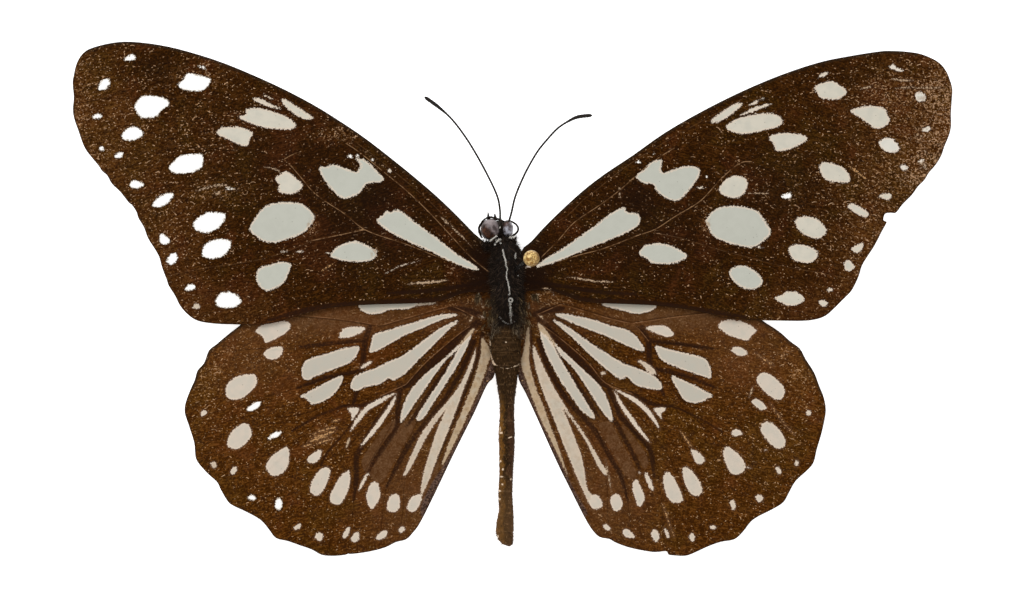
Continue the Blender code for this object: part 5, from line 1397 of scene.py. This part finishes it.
def abdomen_finish():
    """Scaled rings: yellow-brown on the left flank, darker brown to the right, pale rim and crumbs."""
    f = Finish("abdomen_scales", roughness=0.75, specular=0.08)
    x, y, _ = f.split(f.place)
    joint, pale, _ = f.attribute("ring")
    grain = f.noise(3.0, 5.0, 0.72)
    bulge = f.math("SUBTRACT", f.math("ADD", grain, f.noise(0.9, 3.0, 0.6)), 1.0)
    side = f.math("ADD", f.math("ADD", x, 0.6), f.times(bulge, 1.1))
    back = f.step(y, -9.0, -12.5)
    ground = f.mix(f.times(f.step(side, 0.0, 0.3), back), ink(46, 29, 8), ink(66, 42, 24))
    flank = f.times(f.step(side, -0.15, -0.4), back)
    ground = f.mix(flank, ground, f.mix(f.noise(0.7, 2.0), ink(108, 66, 16), ink(126, 88, 36)))
    ground = f.mix(f.times(f.step(grain, 0.52, 0.36), 0.65), ground, ink(26, 14, 4))
    rear = f.step(y, -17.0, -22.0)
    ground = f.mix(f.times(rear, 0.6), ground, ink(88, 62, 34))
    speckle = f.times(f.step(grain, 0.54, 0.68), f.math("MULTIPLY_ADD", rear, 0.4, 0.2))
    ground = f.mix(speckle, ground, ink(140, 104, 68))
    wrinkle = f.times(f.streaks(0.0, 0.7, 4.0, 0.5, 0.68), f.step(y, -9.0, -5.0))
    ground = f.mix(f.times(wrinkle, 0.5), ground, ink(86, 62, 38))
    ground = f.mix(f.times(joint, f.step(grain, 0.4, 0.6, 0.5)), ground, ink(120, 92, 62))
    ragged = f.math("ADD", pale, f.sway(f.noise(3.6, 3.0, 0.7), 0.3))
    ground = f.mix(f.step(ragged, -0.02, 0.03), ground, ink(226, 200, 170))
    f.relief(grain, 0.05, 0.6)
    return f.done(ground)


def eye_finish(name, across, start, bright):
    """Dry glossy eye: red-brown, with a cloudy grey painted reflection over its top on one side of a soft
    line.
    """
    f = Finish(name, roughness=0.4, specular=0.15, coat=0.05)
    x, y, z = f.split(f.place)
    mottle = f.noise(2.0, 3.0, 0.6)
    ground = f.mix(f.step(mottle, 0.35, 0.7), ink(26, 14, 8), ink(84, 50, 32))
    along = f.math("ADD", f.times(x, across[0]), f.times(y, across[1]))
    ragged = f.math("ADD", along, f.sway(mottle, 0.8))
    cloud = f.step(f.noise(1.3, 3.0, 0.6, 0.3), 0.34, 0.66)
    grey = f.mix(cloud, ink(70, 60, 60), ink(*bright))
    f.relief(f.noise(9.0, 2.0), 0.01, 0.4)
    # Painted reflection: the grey cloud over the top of the eye, on one side of a soft line
    painted_reflection = f.times(f.step(ragged, start - 0.3, start + 0.3, 0.92), f.step(z, 2.8, 3.7))
    return f.done(f.mix(painted_reflection, ground, grey))


def gold_finish():
    """Tarnished gold paint on the pin's head: pale yellow with brown mottling and dents, and painted shade
    that turns it brown towards the rim, most on the lower right.
    """
    f = Finish("pin_gold_paint", roughness=0.42, specular=0.5, metallic=0.3)
    mottle = f.noise(2.9, 4.0, 0.7, 0.8)
    ground = f.mix(f.step(mottle, 0.4, 0.6), ink(150, 104, 34), ink(244, 212, 138))
    ground = f.mix(f.step(f.noise(4.5, 3.0, 0.6, 1.0), 0.54, 0.62, 0.6), ground, ink(92, 58, 16))
    x, y, _ = f.split(f.place)
    # Painted shade: brown towards the ball's rim, around a middle moved up and to the left
    across = f.math("POWER", f.math("SUBTRACT", x, PIN_HEAD_CENTRE[0] - 0.12), 2.0)
    along = f.math("POWER", f.math("SUBTRACT", y, PIN_HEAD_CENTRE[1] + 0.12), 2.0)
    ground = f.mix(f.step(f.math("ADD", across, along), 0.3, 0.75, 0.55), ground, ink(104, 66, 20))
    f.relief(mottle, 0.15, 1.0)
    return f.done(ground)


def plain_finish(name, dark, light, roughness, specular=0.5, coat=0.0):
    """Horn, chitin or enamel: two close tones with a fine uneven surface."""
    f = Finish(name, roughness, specular, coat=coat)
    f.relief(f.noise(8.0, 3.0), 0.01, 0.5)
    return f.done(f.mix(f.noise(2.0, 3.0), dark, light))


def floor_finish():
    """Matt white board that also glows a little, so that the specimen's shadow stays faint."""
    f = Finish("white_board", roughness=0.9, specular=0.0)
    f.shader.inputs["Emission Color"].default_value = (1.0, 1.0, 1.0, 1.0)
    f.shader.inputs["Emission Strength"].default_value = 0.8
    return f.done((0.92, 0.92, 0.92, 1.0))


def add_wings():
    """Four wings: the two of a pair share their height, tones and wear, and differ in the drawing."""
    # Height, ground tones, mark tones, fringe and vein colour, then how speckled, dotted and ragged
    kinds = {
        "forewing": (
            forewing_height,
            (ink(37, 17, 1), ink(63, 31, 5), ink(86, 50, 15), ink(124, 82, 40), ink(152, 110, 68),
             ink(212, 172, 134), ink(58, 31, 9), ink(42, 27, 3), ink(60, 27, 6), ink(26, 14, 8)),
            (ink(192, 192, 180), ink(211, 204, 188), ink(186, 158, 128)),
            ink(64, 40, 24), ink(158, 122, 86), 0.55, 0.65, 0.7),
        "hindwing": (
            hindwing_height,
            (ink(54, 26, 1), ink(76, 40, 7), ink(110, 66, 22), ink(132, 84, 38), ink(156, 110, 62),
             ink(208, 168, 126), ink(102, 70, 44), ink(62, 37, 4), ink(80, 40, 8), ink(42, 24, 15)),
            (ink(193, 184, 169), ink(211, 197, 180), ink(189, 164, 133)),
            ink(112, 80, 56), ink(138, 98, 66), 0.8, 0.42, 0.55),
    }
    # Kind, side, mirroring and shift of the pattern, outline, and the layers of the drawing
    wings = (
        ("forewing", "left", -1.0, 0.0, FOREWING_LEFT, MARKS_FOREWING_LEFT, OVALS_FOREWING_LEFT,
         STREAKS_FOREWING_LEFT, VEINS_FOREWING_LEFT, SHADE_AND_BANDS_FOREWING_LEFT, {}, PATCHES_FOREWING_LEFT),
        ("forewing", "right", 1.0, 17.3, FOREWING_RIGHT, MARKS_FOREWING_RIGHT, OVALS_FOREWING_RIGHT,
         STREAKS_FOREWING_RIGHT, VEINS_FOREWING_RIGHT, SHADE_AND_BANDS_FOREWING_RIGHT, {}, PATCHES_FOREWING_RIGHT),
        ("hindwing", "left", -1.0, 5.1, HINDWING_LEFT, MARKS_HINDWING_LEFT, OVALS_HINDWING_LEFT,
         STREAKS_HINDWING_LEFT, VEINS_HINDWING_LEFT, BANDS_HINDWING_LEFT, STRIPS_HINDWING_LEFT,
         PATCHES_HINDWING_LEFT),
        ("hindwing", "right", 1.0, 31.7, HINDWING_RIGHT, MARKS_HINDWING_RIGHT, OVALS_HINDWING_RIGHT,
         STREAKS_HINDWING_RIGHT, VEINS_HINDWING_RIGHT, BANDS_HINDWING_RIGHT, STRIPS_HINDWING_RIGHT,
         PATCHES_HINDWING_RIGHT),
    )
    for kind, side, mirror, shift, outline, *layers in wings:
        height, *look = kinds[kind]
        scales = wing_finish(f"{kind}_{side}_scales", *look, mirror, shift)
        wing_piece(f"{kind}_{side}_scales", f"{kind}_{side}", outline, height, *layers, scales, kind)


def add_abdomen():
    """Abdomen: rings of an ellipse whose size runs through the sections, drawn in by a short groove
    just behind each joint, with the skin swelling towards the joint from the front."""
    y, sides = np.linspace(ABDOMEN[0, 0], ABDOMEN[-1, 0], ABDOMEN_RINGS), RING_SIDES
    past = np.array(ABDOMEN_JOINTS)[None, :] - y[:, None]
    behind = np.min(np.where(past >= 0, past, np.inf), 1)
    ahead = np.min(np.where(past <= 0, -past, np.inf), 1)
    swell = 1 + JOINT_SWELL * np.exp(-(ahead / JOINT_SWELL_LENGTH))
    swell -= JOINT_GROOVE * np.exp(-(behind / JOINT_GROOVE_LENGTH) ** 2)
    swell = np.where((y > JOINTED_REAR) & (y < JOINTED_FRONT), swell, 1.0)
    middle_x, middle_z, half_width, half_height = body_section(ABDOMEN, y)
    turn = (2 * np.pi * np.arange(sides) / sides)[None, :]
    corners = np.stack([
        middle_x[:, None] + (half_width * swell)[:, None] * np.cos(turn),
        np.repeat(y[:, None], sides, 1),
        middle_z[:, None] + (half_height * swell)[:, None] * np.sin(turn)], -1).reshape(-1, 3)
    corners = close_ends(corners, sides)
    rim = np.repeat(np.pad(np.exp(-(ahead / JOINT_RIM_LENGTH) ** 2), 1), sides)
    pale, _, _ = mark_field(corners[:, 0], corners[:, 1], {}, ABDOMEN_CRUMBS, ABDOMEN_RIM)
    level = np.concatenate([middle_z[:1], middle_z, middle_z[-1:]])
    pale = np.where(corners[:, 2] > np.repeat(level, sides), pale, -MARK_REACH)
    piece = fill_mesh("abdomen_rings", corners, ring_faces(len(y) + 2, sides), abdomen_finish(), True,
                      {"ring": [rim, pale, pale]})
    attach(piece, "root")
    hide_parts("abdomen")


def add_head():
    """Thorax skin with a flat sole, head skin, neck, glossy eyes, antennae whose radius swells in
    rings, palps that narrow to a point, and the looped proboscis."""
    crust = crust_finish("body_skin", ink(16, 11, 8), ink(38, 27, 18))
    y = np.repeat(np.linspace(THORAX[0, 0], THORAX[-1, 0], THORAX_RINGS), RING_SIDES)
    turn = np.tile(2 * np.pi * np.arange(RING_SIDES) / RING_SIDES, THORAX_RINGS)
    corners, _ = body_point(THORAX, y, turn)
    corners[:, 2] = np.maximum(corners[:, 2], THORAX_SOLE)
    faces = ring_faces(THORAX_RINGS + 2, RING_SIDES)
    thorax = fill_mesh("thorax_skin", close_ends(corners, RING_SIDES), faces, crust)
    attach(thorax, "root")
    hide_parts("thorax")

    def pits(unit):
        """Shallow pits: the product of three sine waves, one along each axis."""
        return 0.02 * np.sin(13 * unit[:, 0]) * np.sin(11 * unit[:, 1] + 1) * np.sin(9 * unit[:, 2])

    piece = ellipsoid_piece("head_skin", HEAD_CENTRE, HEAD_RADII, crust, pits)
    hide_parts("head")
    neck = ellipsoid_piece("neck_skin", NECK_CENTRE, NECK_RADII, crust, pits)
    for node, (centre, radii, *painted_reflection) in EYES.items():
        piece = ellipsoid_piece(node + "_gloss", centre, radii, eye_finish(node + "_gloss", *painted_reflection))
        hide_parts(node)
    horn = plain_finish("antenna_horn", ink(14, 10, 7), ink(36, 27, 19), 0.6, 0.2)
    for node, points in ANTENNAE.items():
        path = smooth_curve(points, 40, False)
        lengths = np.concatenate([[0], np.cumsum(np.linalg.norm(np.diff(path, axis=0), axis=1))])
        left = lengths[-1] - lengths
        club = np.clip(1 - left / CLUB_LENGTH, 0, 1)
        radii = ANTENNA_RADIUS + (CLUB_RADIUS - ANTENNA_RADIUS) * np.minimum(1, 2 * club)
        radii *= 1 + ANTENNA_SWELL * np.sin(lengths * 2 * np.pi / ANTENNA_RING_LENGTH)
        radii *= np.sqrt(np.clip(left / ANTENNA_TIP, 0.02, 1))
        piece = tube_piece(node + "_rings", path, radii, 14, horn)
        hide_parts(node)
    for node, points in PALPS.items():
        path = smooth_curve(points, 8, False)
        share = np.linspace(0, 1, len(path))
        piece = tube_piece(node + "_skin", path, PALP_RADIUS * (1 - PALP_TAPER * share), 12, crust)
        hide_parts(node)
    way = np.linspace(0, 1, 160)[7::8]
    angle = np.radians(LOOP_START_DEGREES + LOOP_TURN_DEGREES * way)
    loop = np.stack([LOOP_CENTRE[0] + LOOP_RADII[0] * np.cos(angle),
                     LOOP_CENTRE[1] + LOOP_RADII[1] * np.sin(angle), LOOP_HEIGHT - LOOP_FALL * way], 1)
    path = smooth_curve(np.vstack([PROBOSCIS_MOUTH, loop]), 8, False)
    radii = PROBOSCIS_RADIUS - PROBOSCIS_TAPER * np.linspace(0, 1, len(path))
    piece = tube_piece("proboscis_tube", path, radii, 12, horn)
    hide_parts("proboscis")


def add_legs():
    """Legs folded under the wings: smooth tubes through the joints, thicker at the knee."""
    skin = plain_finish("leg_skin", ink(30, 20, 13), ink(70, 48, 30), 0.55)
    for node, joints, right in all_legs():
        points = mirrored(joints) if right else joints
        curve = smooth_curve(np.column_stack([points, LEG_RADII]), 10, False)
        piece = tube_piece(node + "_skin", curve[:, :3], curve[:, 3], 12, skin)
        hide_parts(node)


def add_pin():
    """Black enamelled shaft, which ends inside the head, and the round head with small dents."""
    foot, head = np.array(PIN_FOOT), np.array(PIN_HEAD_CENTRE)
    share = np.linspace(0, 1, PIN_RINGS)[:, None]
    path = foot + (head - foot) * share * PIN_REACH
    enamel = plain_finish("pin_enamel", ink(14, 13, 13), ink(30, 28, 27), 0.25, coat=0.4)
    shaft = tube_piece("pin_shaft_enamel", path, np.full(PIN_RINGS, PIN_SHAFT_RADIUS), 24, enamel)
    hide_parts("pin_shaft")

    def dents(unit):
        """Small dents: the product of three sine waves, one along each axis."""
        return 0.012 * np.sin(9 * unit[:, 0] + 2) * np.sin(8 * unit[:, 1] + 1) * np.sin(7 * unit[:, 2])

    ball = ellipsoid_piece("pin_head_gold", head, (PIN_HEAD_RADIUS * 0.99,) * 3, gold_finish(), dents)
    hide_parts("pin_head")


def add_hair():
    """Hair on the thorax, collar, head, eye rim, palps, wing roots, waist, abdomen and sole, the white
    scales on thorax and head, and the bristles of the legs."""
    draw = np.random.default_rng(20)
    back = np.array([0.0, -1.0, 0.0])
    black = hair_finish("thorax_hair", ink(11, 8, 7), ink(38, 28, 21), ink(92, 76, 64))
    brown = hair_finish("wing_root_hair", ink(36, 26, 14), ink(84, 64, 38), ink(166, 140, 104), 0.16)
    ashen = hair_finish("waist_hair", ink(44, 33, 22), ink(96, 78, 58), ink(152, 134, 110), 0.16)
    pale = hair_finish("white_scales", ink(196, 190, 178), ink(236, 230, 220), ink(250, 248, 244))

    def scatter(count, spread):
        """Random vectors with the given spread."""
        return draw.normal(0.0, spread, (count, 3))

    def along(points, count, spread):
        """Random places along the smooth curve through the points, each moved a little."""
        path = smooth_curve(points, 12, False)
        at = draw.uniform(0, len(path) - 1, count)
        spot = np.stack([np.interp(at, np.arange(len(path)), path[:, k]) for k in range(path.shape[1])], 1)
        return spot + draw.normal(0, spread, spot.shape)

    def clump(middle, spread, count):
        """Random places around a middle, with a spread for each axis."""
        return np.array(middle) + draw.normal(0, 1, (count, 3)) * np.array(spread)

    def grow(name, roots, lean, low, high, radius, bend, material):
        """Hairs on the roots, with lengths between low and high."""
        hair_piece(name, roots, lean, draw.uniform(low, high, len(roots)), radius, bend, material)

    count = 9500
    y = draw.uniform(-2.5, 6.0, count)
    angle = draw.uniform(-0.6, math.pi + 0.6, count)
    roots, outward = body_point(THORAX, y, angle, -0.12)
    lean = outward * 0.65 + back * 0.8 + scatter(count, 0.45)
    grow("thorax_hair", roots, lean, 0.3, 0.95, 0.03, back * 0.2 + scatter(count, 0.15), black)

    turn = draw.uniform(0.1, math.pi - 0.1, 1000)
    behind_head = draw.uniform(5.2, 6.45, 1000)
    roots = np.stack([-0.85 + 1.3 * np.cos(turn), behind_head, 3.3 + 1.3 * np.sin(turn)], 1)
    roots = np.concatenate([roots, clump((-2.45, 5.6, 3.9), (0.33, 0.33, 0.2), 700)])
    lean = np.array([-0.1, -0.3, 0.5]) + scatter(1700, 0.55)
    grow("collar_hair", roots, lean, 0.2, 0.55, 0.028, scatter(1700, 0.2), black)

    crown = clump((-1.13, 7.3, 4.1), (0.07, 0.45, 0.08), 260)
    nape = clump((-1.2, 6.55, 4.0), (0.55, 0.18, 0.15), 420)
    roots = np.concatenate([crown, nape])
    lean = np.array([0.0, 0.5, 0.4]) + scatter(len(roots), 0.5)
    grow("head_hair", roots, lean, 0.1, 0.3, 0.024, scatter(len(roots), 0.1), black)
    roots = along(EYE_RIM, 900, 0.035)
    reach = roots - np.array(EYES["eye_left"][0])
    lean = np.stack([reach[:, 1], -reach[:, 0], 0.2 * reach[:, 2]], 1) + scatter(900, 0.22)
    grow("eye_rim_hair", roots, lean, 0.15, 0.35, 0.022, scatter(900, 0.05), black)

    for node, points in PALPS.items():
        roots = along(points, 320, 0.02)
        ahead = np.array([-0.1, 1.0, 0.2]) + scatter(320, 0.3)
        shorter = 1.0 - 0.75 * (roots[:, 1] - points[0][1]) / (points[-1][1] - points[0][1])
        hair_piece(node + "_hair", roots, ahead, 0.3 * np.clip(shorter, 0.2, 1.0), 0.026, back * 0.05,
                   black)

    for side, word in ((-1, "left"), (1, "right")):
        def beside(y, low, high):
            """Places just under the thorax skin on one side, at angles between low and high."""
            angle = draw.uniform(low, high, len(y))
            return body_point(THORAX, y, angle if side > 0 else math.pi - angle, -0.1)[0]

        def outwards(count, across, behind):
            """Leans away from the body and to the rear, scattered a little."""
            return np.array([side * across, -behind, 0.0]) + scatter(count, 0.35)

        count = 1500
        roots = beside(np.clip(draw.normal(3.0, 1.2, count), 0.2, 5.3), 0.3, 0.85)
        grow(f"forewing_root_hair_{word}", roots, outwards(count, 0.9, 0.35), 0.2, 0.85, 0.026,
             scatter(count, 0.25), black)

        clumps = beside(draw.normal(-0.9, 1.2, 62), 0.1, 0.8)
        middle = BODY_MIDDLE + side * draw.normal(1.9, 0.3, 18)
        spread = np.stack([middle, draw.normal(-0.9, 1.0, 18), np.full(18, 3.5)], 1)
        tuft = np.array([BODY_MIDDLE + side * 2.95, 0.3, 3.7]) + scatter(8, 0.16)
        clumps = np.concatenate([clumps, spread, tuft])
        count = 11 * len(clumps)
        roots = np.repeat(clumps, 11, 0) + scatter(count, 0.09)
        lean = np.repeat(outwards(len(clumps), 0.25, 1.1), 11, 0) + scatter(count, 0.1)
        grow(f"hindwing_root_hair_{word}", roots, lean, 0.35, 1.05, 0.025, scatter(count, 0.1), brown)

    y = np.clip(draw.normal(-2.8, 0.55, 60), -3.9, -1.8)
    side = draw.choice((-1, 1), 60)
    angle = math.pi / 2 + side * draw.uniform(0.45, 1.5, 60)
    clumps, outward = body_point(ABDOMEN, y, angle, 0.1)
    clumps[:, 0] = np.where(y > -2.8, BODY_MIDDLE + side * draw.uniform(0.7, 1.7, 60), clumps[:, 0])
    clumps[:, 2] = np.maximum(clumps[:, 2], 3.6)
    roots = np.repeat(clumps, 10, 0) + scatter(600, 0.1)
    lean = np.repeat(outward * 0.3 + back * 0.8 + scatter(60, 0.4), 10, 0) + scatter(600, 0.15)
    grow("waist_hair", roots, lean, 0.25, 0.8, 0.022, scatter(600, 0.25), ashen)

    count = 2600
    y = draw.uniform(-25.6, -2.7, count)
    roots, outward = body_point(ABDOMEN, y, draw.uniform(0, 2 * math.pi, count), -0.02)
    lean = outward * 0.3 + back + scatter(count, 0.2)
    scales = hair_finish("abdomen_hair", ink(44, 27, 12), ink(96, 66, 36), ink(150, 116, 80))
    grow("abdomen_hair", roots, lean, 0.12, 0.35, 0.02, back * 0.1, scales)

    spots = [along(points, count, spread) for points, spread, count in SCALE_LINES]
    turn = draw.uniform(0, 2 * math.pi, SCALE_RING_COUNT)
    ring = np.array(SCALE_RING_CENTRE) + SCALE_RING_RADIUS * np.stack([np.cos(turn), np.sin(turn)], 1)
    spots.append(ring + draw.normal(0, SCALE_RING_SPREAD, ring.shape))
    spot = np.concatenate(spots)
    middle_x, middle_z, half_width, half_height = body_section(THORAX, spot[:, 1])
    level = np.clip(np.abs(spot[:, 0] - middle_x) / half_width, 0, 0.97)
    rise = middle_z + half_height * np.sqrt(1 - level ** 2) + SCALE_LIFT
    rise = np.where(spot[:, 1] > COLLAR_START, np.maximum(rise, COLLAR_TOP), rise)
    rise = np.where(spot[:, 1] > HEAD_START, HEAD_TOP, rise)
    roots = np.column_stack([spot, rise])
    lean = np.array([0.0, -1.0, 0.1]) + scatter(len(roots), 0.5)
    grow("thorax_white_scales", roots, lean, 0.07, 0.16, 0.026, back * 0.02, pale)

    count = 5000
    angle = draw.uniform(0.35, math.pi - 0.35, count)
    roots, outward = body_point(THORAX, draw.uniform(-2.2, 6.0, count), -angle, -0.05)
    roots[:, 2] = np.maximum(roots[:, 2], THORAX_SOLE)
    lean = outward * np.array([0.7, 0.0, 1.0]) + back + scatter(count, 0.3)
    lean[:, 2] = np.where(roots[:, 2] < 0.9, np.clip(lean[:, 2], -0.04, 0.3), lean[:, 2])
    grow("thorax_sole_hair", roots, lean, 0.25, 0.7, 0.026, back * 0.1, black)
    for node, joints, right in all_legs():
        roots = along(joints, 420, 0.03)
        roots = mirrored(roots) if right else roots
        roots[:, 2] = np.maximum(roots[:, 2], LOWEST_ROOT)
        lean = np.array([0.0, -0.5, 0.0]) + scatter(420, 0.6)
        lean[:, 2] = np.abs(lean[:, 2])
        grow(node + "_bristles", roots, lean, 0.2, 0.45, 0.014, back * 0.05, brown)


def add_stage():
    """White board, soft light from above and a camera that looks straight down."""
    half = BOARD_HALF_WIDTH
    corners = [(-half, -half, 0.0), (half, -half, 0.0), (half, half, 0.0), (-half, half, 0.0)]
    floor = fill_mesh("white_floor", corners, [(0, 1, 2, 3)], floor_finish(), False)

    world = bpy.data.worlds.new("studio")
    bpy.context.scene.world = world
    world.use_nodes = True
    background = world.node_tree.nodes["Background"]
    background.inputs[0].default_value = (1.0, 1.0, 1.0, 1.0)
    background.inputs[1].default_value = SURROUNDING_LIGHT
    for name, (place, size, power) in LAMPS.items():
        light = bpy.data.lights.new(name, "AREA")
        light.size = size
        light.energy = power
        lamp = bpy.data.objects.new(name, light)
        lamp.location = [v * MM for v in place]
        aim = -lamp.location.normalized()
        lamp.rotation_euler = aim.to_track_quat("-Z", "Y").to_euler()
        bpy.context.collection.objects.link(lamp)

    camera_data = bpy.data.cameras.new("camera")
    camera_data.lens = CAMERA_LENS
    camera_data.sensor_width = SENSOR_WIDTH
    camera_data.clip_start = NEAREST_VIEW
    camera = bpy.data.objects.new("camera", camera_data)
    camera.location = (0.0, 0.0, CAMERA_HEIGHT)
    bpy.context.collection.objects.link(camera)
    bpy.context.scene.camera = camera
    bpy.context.scene.view_settings.view_transform = "Standard"


add_wings()
add_abdomen()
add_head()
add_legs()
add_pin()
add_hair()
add_stage()
